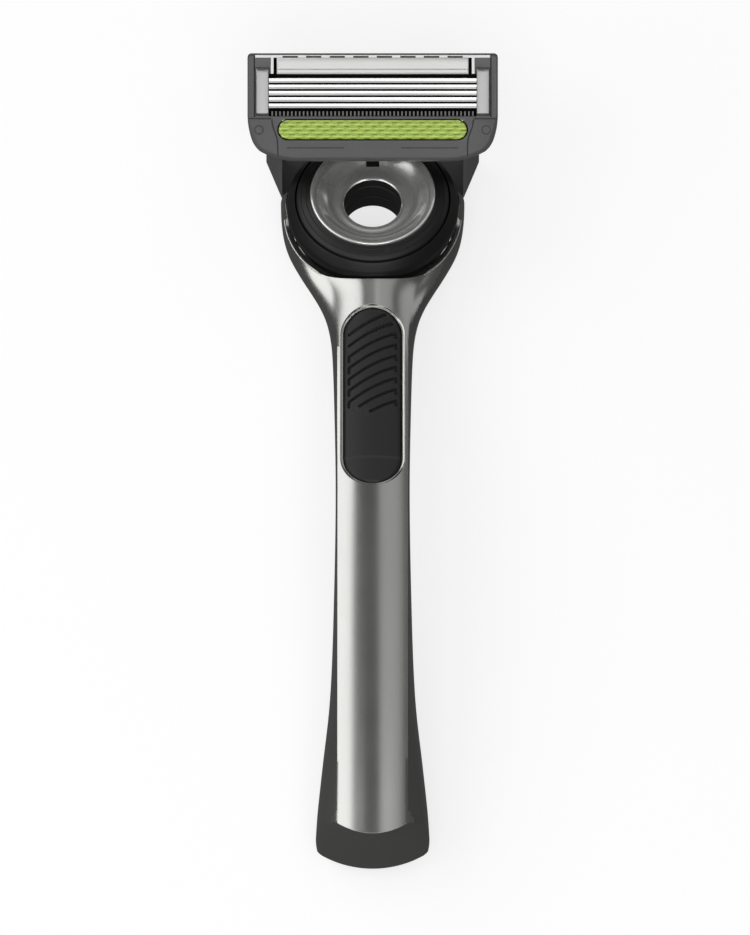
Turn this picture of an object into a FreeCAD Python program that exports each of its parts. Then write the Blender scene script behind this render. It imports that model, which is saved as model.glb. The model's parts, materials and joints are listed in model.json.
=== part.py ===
import FreeCAD, Part
import math
import os
import Sketcher
from FreeCAD import Placement, Rotation, Vector

# Cartridge razor lying on its back, in millimetres.
# Row frame: +X to the right, +Y towards the head, +Z out of the front of the handle.
# Disc frame: origin at the centre of the disc's front rim, local y up the disc, local z out of it.
# Head frame: origin at the middle of the cartridge's lower edge, local y up the face, z out of it.

doc = FreeCAD.newDocument("cartridge_razor")
sheet = doc.addObject("Spreadsheet::Sheet", "Sizes")

SIZES = {
    # where the disc and the head stand
    "rim_y": 48.02, "rim_z": 13.0, "disc_tilt": 13.0, "head_tilt": 26.0,
    "head_dy": 3.70, "head_dz": 4.73,
    # cartridge
    "cart_half": 21.0, "cart_tall": 18.0, "cart_thick": 4.4, "corner_half": 12.5,
    "pocket_half": 17.6, "pocket_low": 7.65, "pocket_top": 17.55, "pocket_deep": 3.7,
    "window_half": 16.0, "window_mid": 5.4, "window_rad": 1.8,
    "lower_bar_thick": 2.4, "lower_bar_drop": 0.2,
    "bed_top": 1.2, "bed_gap": 0.05,
    "blade_count": 5.0, "blade_first": 9.06, "blade_pitch": 1.06, "blade_half": 17.45,
    "blade_reach": 0.80, "blade_thin": 0.14, "blade_leg": 2.4, "blade_drop": 0.22, "blade_float": 0.25,
    "leg_clear": 0.08, "rinse_wide": 0.34, "rinse_long": 9.6, "rinse_gap": 1.2,
    "strip_half": 16.1, "strip_low": 14.72, "strip_top": 17.5, "strip_proud": 0.15, "strip_round": 0.35,
    "fin_low": 7.7, "fin_top": 8.5, "fin_half": 17.0, "fin_thick": 0.3, "fin_pitch": 0.66,
    "fin_base": 0.7, "fin_tip": 0.05,
    "clip_in": 17.4, "clip_out": 19.6, "clip_low": 8.2, "clip_top": 15.4, "clip_thick": 0.3,
    "clip_leg_in": 17.9, "clip_leg_out": 19.1, "clip_tab": 1.0,
    "trim_half": 15.0, "trim_low": 15.2, "trim_top": 17.3, "trim_thick": 0.25,
    "keeper_in": 8.0, "keeper_out": 12.6, "keeper_low": 8.2, "keeper_top": 10.6, "keeper_thick": 0.5,
    # carrier that the cartridge snaps on to
    "carrier_gap": 0.1, "carrier_half": 14.8, "carrier_low": 1.5, "carrier_top": 11.0,
    "carrier_thick": 2.4, "boss_half": 15.7, "boss_rad": 1.5, "boss_top": 1.0,
    "bar_half": 15.75, "bar_rad": 1.6, "bar_proud": 0.2, "bar_round": 0.25,
    "magnet_thick": 1.4, "tab_half": 1.1, "tab_drop": 1.0, "spine_half": 4.5, "spine_deep": 8.2,
    "pivot_v": 5.4, "pivot_c": 6.6, "ear_in": 12.9, "ear_rad": 2.2,
    "pin_rad": 0.9, "pin_play": 0.04, "pin_in": 10.9, "pin_out": 18.3,
    "coil_mean": 1.4, "coil_wire": 0.2, "coil_pitch": 0.48, "coil_in": 11.0, "coil_long": 1.5,
    # yoke
    "yoke_front": 8.8, "yoke_relief": 0.55, "relief_rad": 11.6, "yoke_thick": 1.3,
    "yoke_half": 18.5, "yoke_in": 15.2, "yoke_top": 13.6,
    "yoke_reach": 3.0, "lug_rad": 1.8, "plate_half": 12.9, "plate_low": 9.2, "plate_top": 13.3,
    "wing_low": 5.9, "wing_mid": 16.3, "wing_turn": 9.0, "wing_out": 17.9, "yoke_hole": 5.8,
    # disc
    "hole_rad": 4.82, "rim_rad": 10.5, "rim_step": 12.5, "core_rad": 11.4, "disc_centre": 6.5,
    "dish_deep": 2.5, "wall_top": 3.5, "wall_end": 5.9, "sleeve_end": 10.6, "sleeve_rad": 5.8,
    "bezel_ball": 13.7, "lip_ball": 13.9, "step_drop": 0.35, "step_rad": 11.3,
    "rear_trim_rad": 9.0, "rear_trim_thick": 0.6,
    # gimbal ring
    "ring_in": 12.0, "ring_out": 13.3, "ring_low": 1.4, "ring_high": 1.9, "lip_out": 14.4,
    "lip_top": 4.9, "lip_edge": 3.2, "pitch_pin_rad": 0.85, "roll_pin_rad": 0.8, "small_play": 0.03,
    "pitch_pin_out": 14.6, "pitch_pin_in": 12.1, "roll_pin_in": 9.6, "roll_pin_out": 13.2,
    # handle
    "cup_bore": 13.9, "cup_lip": 14.75, "lip_floor": 5.4, "lip_deep": 6.7, "lip_split": -1.2,
    "arm_end": 3.6, "cover_skin": 2.3, "cover_lead": 6.35, "cover_start": -26.0,
    "cover_stop": -116.2, "cover_half": 4.4,
    "cavity_start": -60.0, "cavity_stop": -112.0, "cavity_half": 3.9, "front_wall": 2.2,
    "grip_high": -20.8, "grip_low": -54.0, "grip_half": 4.95, "grip_deep": 1.5, "grip_gap": 0.12,
    "grip_sunk": 0.25, "grip_base": 9.8, "weight_high": -62.0, "weight_low": -99.0, "weight_gap": 0.1,
    "dock_high": -104.0, "dock_low": -111.0, "dock_thick": 1.5, "dock_base": 2.75,
    "butt_start": -107.0, "butt_open": -100.0, "back_rise": 0.35,
    "screw_rad": 0.8, "screw_head": 1.4, "screw_long": 3.2,
    "screw_sink": 0.9, "screw_reach": 4.4,
}

# Handle sections from the cup to the butt, measured from the disc's rim centre along Y:
# y, crease half-width, widest half-width, front z, crown radius, widest z, back half-width, back z
STATIONS = [
    (11.0, 14.2, 15.4, 7.3, 60.0, 3.6, 13.2, -0.1),
    (5.0, 14.35, 15.4, 8.7, 60.0, 4.2, 13.2, -0.1),
    (0.0, 14.3, 15.4, 9.85, 56.0, 4.7, 12.9, -0.05),
    (-4.0, 13.9, 15.1, 10.5, 48.0, 5.2, 11.9, 0.3),
    (-8.0, 12.4, 14.2, 11.1, 36.0, 5.8, 10.0, 1.1),
    (-12.0, 10.0, 12.35, 11.8, 20.0, 6.5, 8.0, 2.2),
    (-16.0, 7.6, 10.15, 12.6, 10.5, 7.4, 6.5, 3.5),
    (-20.0, 6.6, 8.3, 13.4, 9.4, 8.8, 5.4, 4.7),
    (-25.0, 6.15, 7.1, 14.35, 9.8, 10.2, 4.7, 6.0),
    (-31.0, 5.95, 6.65, 15.35, 10.8, 11.3, 4.4, 7.1),
    (-40.0, 5.95, 6.4, 16.45, 12.0, 12.2, 4.2, 8.1),
    (-52.0, 5.9, 6.2, 17.2, 12.0, 12.7, 4.1, 8.4),
    (-65.0, 5.9, 6.3, 17.2, 12.0, 12.2, 4.2, 7.8),
    (-76.0, 5.9, 6.55, 16.75, 12.0, 11.1, 4.4, 6.5),
    (-86.0, 5.9, 6.9, 16.1, 12.0, 9.7, 4.8, 4.6),
    (-93.0, 5.9, 7.4, 15.6, 12.0, 8.6, 5.2, 2.9),
    (-99.0, 5.9, 8.1, 15.1, 12.0, 7.7, 5.8, 1.3),
    (-104.5, 5.9, 8.7, 14.6, 12.0, 7.0, 6.3, 0.3),
    (-109.0, 5.9, 9.15, 14.15, 12.0, 6.5, 6.7, -0.05),
    (-114.0, 5.9, 9.45, 13.65, 12.0, 6.2, 6.9, -0.1),
    (-120.0, 5.9, 9.55, 13.1, 12.0, 6.0, 7.0, -0.1),
]
FIELDS = ("y", "crease", "wide", "front", "crown", "mid", "under", "back")

# Outline of the butt from the front down: level, half-width, lowest y, radius across the end, corner radius
BUTT = [
    (17.4, 5.8, -113.2, 6.5, 5.1),
    (13.4, 6.3, -115.55, 7.0, 5.6),
    (10.0, 8.7, -116.35, 10.5, 4.8),
    (6.5, 9.75, -117.2, 14.0, 3.9),
    (3.2, 9.85, -117.85, 16.5, 3.2),
    (1.0, 9.6, -117.0, 16.0, 3.0),
    (0.0, 9.4, -116.4, 15.5, 3.0),
]
BUTT_FIELDS = ("level", "half", "end", "across", "corner")

row = 0
for index, station in enumerate(BUTT):
    for field, number in zip(BUTT_FIELDS, station):
        row += 1
        sheet.set("A%d" % row, "butt_%d_%s" % (index, field))
        sheet.set("B%d" % row, str(number))
        sheet.setAlias("B%d" % row, "butt_%d_%s" % (index, field))
for key, number in SIZES.items():
    row += 1
    sheet.set("A%d" % row, key)
    sheet.set("B%d" % row, str(number))
    sheet.setAlias("B%d" % row, key)
for index, station in enumerate(STATIONS):
    for field, number in zip(FIELDS, station):
        row += 1
        sheet.set("A%d" % row, "station_%d_%s" % (index, field))
        sheet.set("B%d" % row, str(number))
        sheet.setAlias("B%d" % row, "station_%d_%s" % (index, field))
doc.recompute()


def size(name):
    return float(sheet.get(name))


def ex(text):
    """Turns words such as cart_half - 1 into an expression that reads them from the sheet."""
    out = ""
    word = ""
    for mark in text + " ":
        if mark.isalnum() or mark == "_" or mark == ".":
            word += mark
            continue
        if word and (word[0].isalpha()):
            word = "Sizes." + word
        out += word + mark
        word = ""
    return out.strip()


NODES = []
deg = math.radians


def home(frame):
    """Placement of the row, disc or head frame."""
    if frame == "disc":
        return Placement(Vector(0, size("rim_y"), size("rim_z")),
                         Rotation(Vector(1, 0, 0), -size("disc_tilt")))
    if frame == "head":
        base = Vector(0, size("rim_y") + size("head_dy"), size("rim_z") + size("head_dz"))
        return Placement(base, Rotation(Vector(1, 0, 0), size("head_tilt")))
    return Placement(Vector(0, size("rim_y"), 0), Rotation())


def keep(item, label, frame):
    item.Placement = home(frame)
    if frame == "disc":
        item.setExpression("Placement.Base.z", ex("rim_z"))
    if frame == "head":
        item.setExpression("Placement.Base.z", ex("rim_z + head_dz"))
        item.setExpression("Placement.Base.y", ex("rim_y + head_dy"))
    else:
        item.setExpression("Placement.Base.y", ex("rim_y"))
    item.Label = label
    NODES.append(item)
    return item


def bind(item, **fields):
    for field, words in fields.items():
        item.setExpression(field.replace("__", "."), ex(words))


def box(name, x, y, z, dx, dy, dz):
    item = doc.addObject("Part::Box", name)
    bind(item, Length=dx, Width=dy, Height=dz)
    bind(item, Placement__Base__x=x, Placement__Base__y=y, Placement__Base__z=z)
    return item


def rod(name, radius, length, x, y, z, axis="z"):
    item = doc.addObject("Part::Cylinder", name)
    turn = {"x": Rotation(Vector(0, 1, 0), 90), "y": Rotation(Vector(1, 0, 0), -90), "z": Rotation()}
    item.Placement = Placement(Vector(), turn[axis])
    bind(item, Radius=radius, Height=length)
    bind(item, Placement__Base__x=x, Placement__Base__y=y, Placement__Base__z=z)
    return item


def fuse(name, items):
    if len(items) == 1:
        return items[0]
    item = doc.addObject("Part::MultiFuse", name)
    item.Shapes = items
    return item


def cut(name, base, tools):
    item = doc.addObject("Part::Cut", name)
    item.Base = base
    item.Tool = fuse(name + "_tools", tools)
    return item


def common(name, items):
    item = doc.addObject("Part::MultiCommon", name)
    item.Shapes = items
    return item


def group(name, items):
    item = doc.addObject("Part::Compound", name)
    item.Links = items
    return item


def new_body(name):
    return doc.addObject("PartDesign::Body", name)


def draw(body, role, name, points, height=None):
    """Closed sketch through points (x words, y words[, radius of the arc to the next point])."""
    plane = [item for item in body.Origin.OriginFeatures if item.Role == role][0]
    sketch = body.newObject("Sketcher::SketchObject", name)
    sketch.AttachmentSupport = (plane, [""])
    sketch.MapMode = "FlatFace"
    if height:
        sketch.setExpression("AttachmentOffset.Base.z", ex(height))
    add_loop(sketch, points)
    return sketch


def add_loop(sketch, points):
    start = sketch.GeometryCount
    spots = []
    for point in points:
        spots.append([float(sketch.evalExpression(ex(words))) for words in point[:2]])
    ends = []
    for index, point in enumerate(points):
        here = Vector(spots[index][0], spots[index][1], 0)
        there_xy = spots[(index + 1) % len(points)]
        there = Vector(there_xy[0], there_xy[1], 0)
        if len(point) < 3:
            sketch.addGeometry(Part.LineSegment(here, there))
            ends.append((1, 2))
            continue
        radius = point[2]
        chord = there - here
        side = Vector(-chord.y, chord.x, 0).normalize()
        lift = math.sqrt(radius * radius - chord.Length ** 2 / 4)
        centre = here + chord * 0.5 + side * (lift if radius > 0 else -lift)
        first, last = (here, there) if radius > 0 else (there, here)
        angles = [math.atan2(spot.y - centre.y, spot.x - centre.x) for spot in (first, last)]
        circle = Part.Circle(centre, Vector(0, 0, 1), abs(radius))
        sketch.addGeometry(Part.ArcOfCircle(circle, angles[0], angles[1]))
        ends.append((1, 2) if radius > 0 else (2, 1))
    for index, point in enumerate(points):
        after = (index + 1) % len(points)
        sketch.addConstraint(Sketcher.Constraint("Coincident", start + index, ends[index][1],
                                                 start + after, ends[after][0]))
    for index, point in enumerate(points):
        for kind, words, number in zip(("DistanceX", "DistanceY"), point[:2], spots[index]):
            rule = Sketcher.Constraint(kind, -1, 1, start + index, ends[index][0], number)
            place = sketch.addConstraint(rule)
            sketch.setExpression("Constraints[%d]" % place, ex(words))
        if len(point) > 2:
            sketch.addConstraint(Sketcher.Constraint("Radius", start + index, abs(point[2])))


def block(x0, y0, x1, y1):
    return [(x0, y0), (x1, y0), (x1, y1), (x0, y1)]


def oval(half, mid, radius):
    """Slot outline with round ends, given as words; radius is also a key of the sheet."""
    turn = size(radius)
    left = "-%s + %s" % (half, radius)
    right = "%s - %s" % (half, radius)
    low = "%s - %s" % (mid, radius)
    high = "%s + %s" % (mid, radius)
    return [(left, low), (right, low, turn), ("%s" % half, mid, turn), (right, high),
            (left, high, turn), ("-%s" % half, mid, turn)]


def pad(body, sketch, name, length, reverse=False, both=False):
    item = body.newObject("PartDesign::Pad", name)
    item.Profile = sketch
    item.setExpression("Length", ex(length))
    item.Reversed = reverse
    if both:
        item.SideType = "Symmetric"
    return item


def pocket(body, sketch, name, length, reverse=False, both=False):
    item = body.newObject("PartDesign::Pocket", name)
    item.Profile = sketch
    item.setExpression("Length", ex(length))
    item.Reversed = reverse
    if both:
        item.SideType = "Symmetric"
    return item


def turned(name, label, points):
    """Body of revolution about the disc's axis; points are (radius, height)."""
    body = new_body(name)
    sketch = draw(body, "XZ_Plane", name + "_profile", points)
    item = body.newObject("PartDesign::Revolution", name + "_turn")
    item.Profile = sketch
    item.ReferenceAxis = (sketch, ["V_Axis"])
    item.Angle = 360
    return body


# ---------------------------------------------------------------- cartridge (head frame)
rinse_tools = []
blades = int(size("blade_count"))
for line in range(blades):
    for column in (-1, 0, 1):
        name = "rinse_%d_%d" % (line, column + 1)
        low = "blade_first + blade_pitch * %d + blade_reach + leg_clear - blade_pitch + 0.14" % line
        rinse_tools.append(box(name, "%d * (rinse_long + rinse_gap) - rinse_long / 2" % column, low,
                               "-cart_thick - 1", "rinse_long", "rinse_wide", "cart_thick"))

frame_body = new_body("frame_body")
outline = [
    ("-corner_half", "0"), ("corner_half", "0", 13.0), ("18.9", "1.7", 4.6), ("20.3", "3.7", 13.0),
    ("cart_half", "7.7"), ("cart_half", "cart_tall"), ("-cart_half", "cart_tall"),
    ("-cart_half", "7.7", 13.0), ("-20.3", "3.7", 4.6), ("-18.9", "1.7", 13.0),
]
pad(frame_body, draw(frame_body, "XY_Plane", "frame_outline", outline), "frame_pad",
    "cart_thick", reverse=True)
pocket(frame_body, draw(frame_body, "XY_Plane", "blade_pocket_outline",
                        block("-pocket_half", "pocket_low", "pocket_half", "pocket_top")),
       "blade_pocket", "pocket_deep")
pocket(frame_body, draw(frame_body, "XY_Plane", "window_outline",
                        oval("window_half", "window_mid", "window_rad")), "window", "cart_thick + 1")
under = [("-1", "-lower_bar_thick"), ("3.0", "-lower_bar_thick"), ("3.6", "-cart_thick - 1"),
         ("-1", "-cart_thick - 1")]
pocket(frame_body, draw(frame_body, "YZ_Plane", "under_bar_outline", under), "under_bar",
       "cart_half * 3", both=True)
lead = [("-1", "-1.0"), ("-0.2", "-1.0"), ("1.2", "-lower_bar_drop"), ("3.1", "-lower_bar_drop"),
        ("3.5", "0"), ("3.5", "1"), ("-1", "1")]
pocket(frame_body, draw(frame_body, "YZ_Plane", "lead_in_outline", lead), "lead_in",
       "cart_half * 3", both=True)

frame_tools = list(rinse_tools)
SIDES = (("left", -1), ("right", 1))
for side, sign in SIDES:
    near = "clip_leg_in" if sign > 0 else "-clip_leg_out"
    for tag, low in (("low", "clip_low - clip_thick"), ("top", "clip_top")):
        frame_tools.append(box("clip_slot_%s_%s" % (side, tag), near, low, "-cart_thick - 1",
                               "clip_leg_out - clip_leg_in", "clip_thick", "cart_thick + 2"))
    near = "keeper_in" if sign > 0 else "-keeper_out"
    frame_tools.append(box("keeper_seat_" + side, near, "keeper_low", "-cart_thick - 1",
                           "keeper_out - keeper_in", "keeper_top - keeper_low", "keeper_thick + 1"))
frame_tools.append(box("trim_seat", "-trim_half", "trim_low", "-cart_thick - 1", "trim_half * 2",
                       "trim_top - trim_low", "trim_thick + 1"))
frame_tools.append(box("cap_notch", "-14.5", "17.75", "-1.0", "29", "1", "0.8"))
keep(cut("cartridge_frame_cut", frame_body, frame_tools), "cartridge_frame", "head")

bed_block = box("bed_block", "-pocket_half + bed_gap", "pocket_low + bed_gap", "-pocket_deep",
                "pocket_half * 2 - bed_gap * 2", "pocket_top - pocket_low - bed_gap * 2",
                "pocket_deep - bed_top")
bed_tools = [doc.copyObject(tool) for tool in rinse_tools]
for tool in bed_tools:
    bind(tool, Height="cart_thick + 1")
for line in range(blades):
    bed_tools.append(box("leg_slot_%d" % line, "-pocket_half - 1",
                         "blade_first + blade_pitch * %d + blade_reach - blade_thin - leg_clear" % line,
                         "-blade_leg - blade_float - 0.15", "pocket_half * 2 + 2",
                         "blade_thin + leg_clear * 2", "blade_leg"))
keep(cut("blade_bed_cut", bed_block, bed_tools), "blade_bed", "head")

for line in range(blades):
    label = "blade_%d" % (line + 1)
    body = new_body(label + "_body")
    at = "blade_first + blade_pitch * %d" % line
    shape = [
        (at, "0"),
        (at + " + blade_reach - 0.12", "-blade_drop + 0.02"),
        (at + " + blade_reach", "-blade_drop - 0.14"),
        (at + " + blade_reach", "-blade_leg"),
        (at + " + blade_reach - blade_thin", "-blade_leg"),
        (at + " + blade_reach - blade_thin", "-blade_drop - 0.2"),
        (at + " + 0.1", "-0.14"),
    ]
    pad(body, draw(body, "YZ_Plane", label + "_section", shape), label + "_pad",
        "blade_half * 2", both=True)
    keep(body, label, "head")

strip = new_body("strip_body")
pad(strip, draw(strip, "XY_Plane", "strip_outline",
                block("-strip_half", "strip_low", "strip_half", "strip_top"), "strip_proud"),
    "strip_pad", "strip_proud + bed_top", reverse=True)
doc.recompute()


def edges_where(item, test):
    names = []
    for index, edge in enumerate(item.Shape.Edges):
        if test(edge):
            names.append("Edge%d" % (index + 1))
    return names


def soften(body, name, test, radius):
    last = body.Tip
    item = body.newObject("PartDesign::Fillet", name)
    item.Base = (last, edges_where(last, test))
    item.setExpression("Radius", ex(radius))
    return item


def on_top(level):
    return lambda edge: min(edge.BoundBox.ZMin, edge.BoundBox.ZMax) > level - 1e-4


soften(strip, "strip_soft", on_top(size("strip_proud")), "strip_round")
keep(strip, "lubricating_strip", "head")

fins = new_body("fins_body")
pad(fins, draw(fins, "XY_Plane", "fins_outline", block("-fin_half", "fin_low", "fin_half", "fin_top"),
               "-bed_top"), "fins_base", "bed_top - fin_base")
fin = pad(fins, draw(fins, "XY_Plane", "fin_outline",
                     block("-fin_half", "fin_low", "-fin_half + fin_thick", "fin_top"), "-bed_top"),
          "fin", "bed_top - fin_tip")
doc.recompute()
rows = fins.newObject("PartDesign::LinearPattern", "fin_row")
rows.Originals = [fin]
rows.Direction = (fins.Origin.OriginFeatures[0], [""])
rows.Occurrences = int((2 * size("fin_half") - size("fin_thick")) / size("fin_pitch")) + 1
rows.setExpression("Length", ex("fin_pitch * %d" % (rows.Occurrences - 1)))
fins.Tip = rows
keep(fins, "guard_fins", "head")

for side, sign in SIDES:
    near = "clip_in" if sign > 0 else "-clip_out"
    leg = "clip_leg_in" if sign > 0 else "-clip_leg_out"
    wide = "clip_leg_out - clip_leg_in"
    plate = box("clip_face_" + side, near, "clip_low - clip_thick", "0", "clip_out - clip_in",
                "clip_top - clip_low + clip_thick * 2", "clip_thick")
    legs = []
    for tag, low, tab in (("low", "clip_low - clip_thick", "clip_low - clip_thick"),
                          ("top", "clip_top", "clip_top + clip_thick - clip_tab")):
        legs.append(box("clip_leg_%s_%s" % (side, tag), leg, low, "-cart_thick", wide, "clip_thick",
                        "cart_thick"))
        legs.append(box("clip_tab_%s_%s" % (side, tag), leg, tab, "-cart_thick - clip_thick", wide,
                        "clip_tab", "clip_thick"))
    keep(fuse("clip_%s_all" % side, [plate] + legs), "clip_" + side, "head")
    near = "keeper_in" if sign > 0 else "-keeper_out"
    plate = box("keeper_plate_" + side, near, "keeper_low", "-cart_thick", "keeper_out - keeper_in",
                "keeper_top - keeper_low", "keeper_thick")
    keep(group("keeper_%s_group" % side, [plate]), "keeper_" + side, "head")

trim = new_body("trim_body")
trim_shape = [("trim_low", "-cart_thick"), ("trim_low", "-cart_thick + trim_thick"),
              ("trim_top", "-cart_thick + trim_thick"), ("trim_top", "-cart_thick"),
              ("trim_top + 0.5", "-cart_thick - 0.05"), ("trim_top - 0.2", "-cart_thick - 0.2"),
              ("trim_low + 0.3", "-cart_thick - 0.2")]
pad(trim, draw(trim, "YZ_Plane", "trim_section", trim_shape), "trim_pad", "trim_half * 2 - 0.1",
    both=True)
keep(trim, "trimmer_blade", "head")

# ---------------------------------------------------------------- carrier (head frame)
top = "-cart_thick - carrier_gap"
plate = box("carrier_plate", "-carrier_half", "carrier_low", top + " - carrier_thick / 2",
            "carrier_half * 2", "carrier_top - carrier_low", "carrier_thick / 2")
boss = new_body("boss_body")
pad(boss, draw(boss, "XY_Plane", "boss_outline", oval("boss_half", "window_mid", "boss_rad"),
               "-boss_top"), "boss_pad", "cart_thick + carrier_gap - boss_top + 0.3", reverse=True)
spine = box("spine", "-spine_half", "3.2", "-spine_deep", "spine_half * 2", "5.6",
            "spine_deep - cart_thick - carrier_gap - 0.2")
tab = box("tab", "-tab_half", "-tab_drop", "-lower_bar_thick - 2.4", "tab_half * 2", "tab_drop + 2.6",
          "2.2")
carrier_parts = [plate, boss, spine, tab]
carrier_tools = []
for side, sign in SIDES:
    start = "ear_in" if sign > 0 else "-carrier_half"
    wide = "carrier_half - ear_in"
    carrier_parts.append(rod("ear_round_" + side, "ear_rad", wide, start, "pivot_v", "-pivot_c", "x"))
    carrier_parts.append(box("ear_web_" + side, start, "pivot_v - ear_rad", "-pivot_c", wide,
                             "ear_rad * 2", "pivot_c - cart_thick - carrier_gap - 0.2"))
    carrier_tools.append(rod("ear_hole_" + side, "pin_rad", "10", "9" if sign > 0 else "-19",
                             "pivot_v", "-pivot_c", "x"))
    start = "coil_in - 0.4" if sign > 0 else "-ear_in"
    carrier_tools.append(rod("coil_room_" + side, "coil_mean + coil_wire + 0.12",
                             "ear_in - coil_in + 0.4", start, "pivot_v", "-pivot_c", "x"))
    near = "keeper_in" if sign > 0 else "-keeper_out"
    carrier_tools.append(box("magnet_seat_" + side, near, "keeper_low", top + " - magnet_thick",
                             "keeper_out - keeper_in", "keeper_top - keeper_low", "magnet_thick + 1"))
    holder = box("magnet_cup_" + side, near + " - 0.6", "keeper_low - 0.5", top + " - magnet_thick - 0.5",
                 "keeper_out - keeper_in + 1.2", "keeper_top - keeper_low + 0.9", "magnet_thick + 0.5")
    carrier_parts.append(holder)
keep(cut("carrier_cut", fuse("carrier_all", carrier_parts), carrier_tools), "carrier", "head")

bar = new_body("bar_body")
pad(bar, draw(bar, "XY_Plane", "bar_outline", oval("bar_half", "window_mid", "bar_rad"), "bar_proud"),
    "bar_pad", "bar_proud + boss_top", reverse=True)
doc.recompute()
soften(bar, "bar_soft", on_top(size("bar_proud")), "bar_round")
keep(bar, "exfoliating_bar", "head")

for side, sign in SIDES:
    near = "keeper_in" if sign > 0 else "-keeper_out"
    magnet = box("magnet_block_" + side, near, "keeper_low", top + " - magnet_thick",
                 "keeper_out - keeper_in", "keeper_top - keeper_low", "magnet_thick")
    keep(group("magnet_%s_group" % side, [magnet]), "magnet_" + side, "head")
    pin = rod("pin_rod_" + side, "pin_rad", "pin_out - pin_in", "pin_in" if sign > 0 else "-pin_out",
              "pivot_v", "-pivot_c", "x")
    keep(group("pivot_pin_%s_group" % side, [pin]), "pivot_pin_" + side, "head")
    coil = doc.addObject("Part::Helix", "coil_line_" + side)
    bind(coil, Pitch="coil_pitch", Height="coil_long", Radius="coil_mean")
    wire = doc.addObject("Part::Circle", "coil_wire_" + side)
    bind(wire, Radius="coil_wire", Placement__Base__x="coil_mean")
    wire.Placement = Placement(wire.Placement.Base, Rotation(Vector(1, 0, 0), 90))
    spring = doc.addObject("Part::Sweep", "coil_sweep_" + side)
    spring.Sections = [wire]
    spring.Spine = (coil, [])
    spring.Solid = True
    spring.Frenet = True
    spring.Placement = Placement(Vector(), Rotation(Vector(0, 1, 0), 90))
    bind(spring, Placement__Base__x="coil_in" if sign > 0 else "-coil_in - coil_long",
         Placement__Base__y="pivot_v", Placement__Base__z="-pivot_c")
    keep(group("pivot_spring_%s_group" % side, [spring]), "pivot_spring_" + side, "head")

# ---------------------------------------------------------------- yoke and disc (disc frame)
turn = math.radians(size("disc_tilt"))
lean = math.radians(size("head_tilt"))
pivot_y = size("head_dy") + size("pivot_v") * math.cos(lean) + size("pivot_c") * math.sin(lean)
pivot_z = size("head_dz") + size("pivot_v") * math.sin(lean) - size("pivot_c") * math.cos(lean)
row += 1
for name, number in (("pivot_q", pivot_y * math.cos(turn) - pivot_z * math.sin(turn)),
                     ("pivot_p", pivot_y * math.sin(turn) + pivot_z * math.cos(turn))):
    sheet.set("A%d" % row, name)
    sheet.set("B%d" % row, str(round(number, 6)))
    sheet.setAlias("B%d" % row, name)
    row += 1
doc.recompute()

plate = new_body("yoke_plate")
shape = [("-9.2", "-plate_low"), ("9.2", "-plate_low"), ("plate_half", "-3"), ("plate_half", "4.6"),
         ("yoke_in", "wing_low"), ("wing_mid", "wing_turn"), ("wing_out", "yoke_top"),
         ("yoke_in", "yoke_top"), ("yoke_in", "plate_top"), ("-yoke_in", "plate_top"),
         ("-yoke_in", "yoke_top"), ("-wing_out", "yoke_top"), ("-wing_mid", "wing_turn"),
         ("-yoke_in", "wing_low"), ("-plate_half", "4.6"), ("-plate_half", "-3")]
pad(plate, draw(plate, "XY_Plane", "yoke_outline", shape, "-yoke_front"), "yoke_pad", "yoke_thick",
    reverse=True)
yoke_parts = [plate]
yoke_tools = [rod("yoke_hole", "yoke_hole", "8", "0", "0", "-yoke_front - 4")]
relief = cut("yoke_relief_tool", rod("relief_outer", "yoke_in - 0.4", "yoke_relief + 1", "0", "0",
                                     "-yoke_front - yoke_relief"),
             [rod("relief_inner", "relief_rad", "yoke_relief + 3", "0", "0",
                  "-yoke_front - yoke_relief - 1")])
yoke_tools.append(relief)
screw_spots = [(-8.4, -5.2), (8.4, -5.2), (-8.4, 5.2), (8.4, 5.2)]
for number, (x, y) in enumerate(screw_spots):
    yoke_tools.append(rod("yoke_screw_hole_%d" % number, "screw_rad", "8", str(x), str(y),
                          "-yoke_front - 4"))
for side, sign in SIDES:
    wing = new_body("yoke_wing_" + side)
    flip = "" if sign > 0 else "-"
    shape = [(flip + "yoke_in", "wing_low"), (flip + "wing_mid", "wing_turn"),
             (flip + "wing_out", "yoke_top"), (flip + "yoke_in", "yoke_top")]
    pad(wing, draw(wing, "XY_Plane", "wing_outline_" + side, shape, "yoke_reach"),
        "wing_pad_" + side, "yoke_reach + yoke_front + yoke_thick", reverse=True)
    start = "yoke_in" if sign > 0 else "-yoke_half"
    yoke_parts.append(wing)
    yoke_parts.append(rod("lug_" + side, "lug_rad", "yoke_half - yoke_in", start, "pivot_q",
                          "pivot_p", "x"))
    yoke_tools.append(rod("lug_hole_" + side, "pin_rad + pin_play", "6", "13.8" if sign > 0 else "-19.8",
                          "pivot_q", "pivot_p", "x"))
keep(cut("yoke_cut", fuse("yoke_all", yoke_parts), yoke_tools), "yoke", "disc")

core = turned("core_body", "disc_core", [
    ("sleeve_rad", "-yoke_front"), ("core_rad", "-yoke_front"),
    ("core_rad", "-disc_centre + 3.5"), ("13.05", "-disc_centre + 4.15", 13.7),
    ("step_rad + 0.9", "-step_drop - 0.45"), ("step_rad", "-step_drop"), ("rim_rad", "-step_drop"),
    ("rim_rad", "-dish_deep - 1.4"), ("sleeve_rad", "-dish_deep - 1.4")])
core_tools = []
for tag, sign in (("high", 1), ("low", -1)):
    core_tools.append(rod("core_pin_hole_" + tag, "roll_pin_rad", "6", "0",
                          "roll_pin_in" if sign > 0 else "-roll_pin_in - 6", "-disc_centre", "y"))
for number, (x, y) in enumerate(screw_spots):
    core_tools.append(rod("core_screw_hole_%d" % number, "screw_rad", "screw_long - yoke_thick", str(x),
                          str(y), "-yoke_front"))
keep(cut("core_cut", core, core_tools), "disc_core", "disc")

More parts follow.
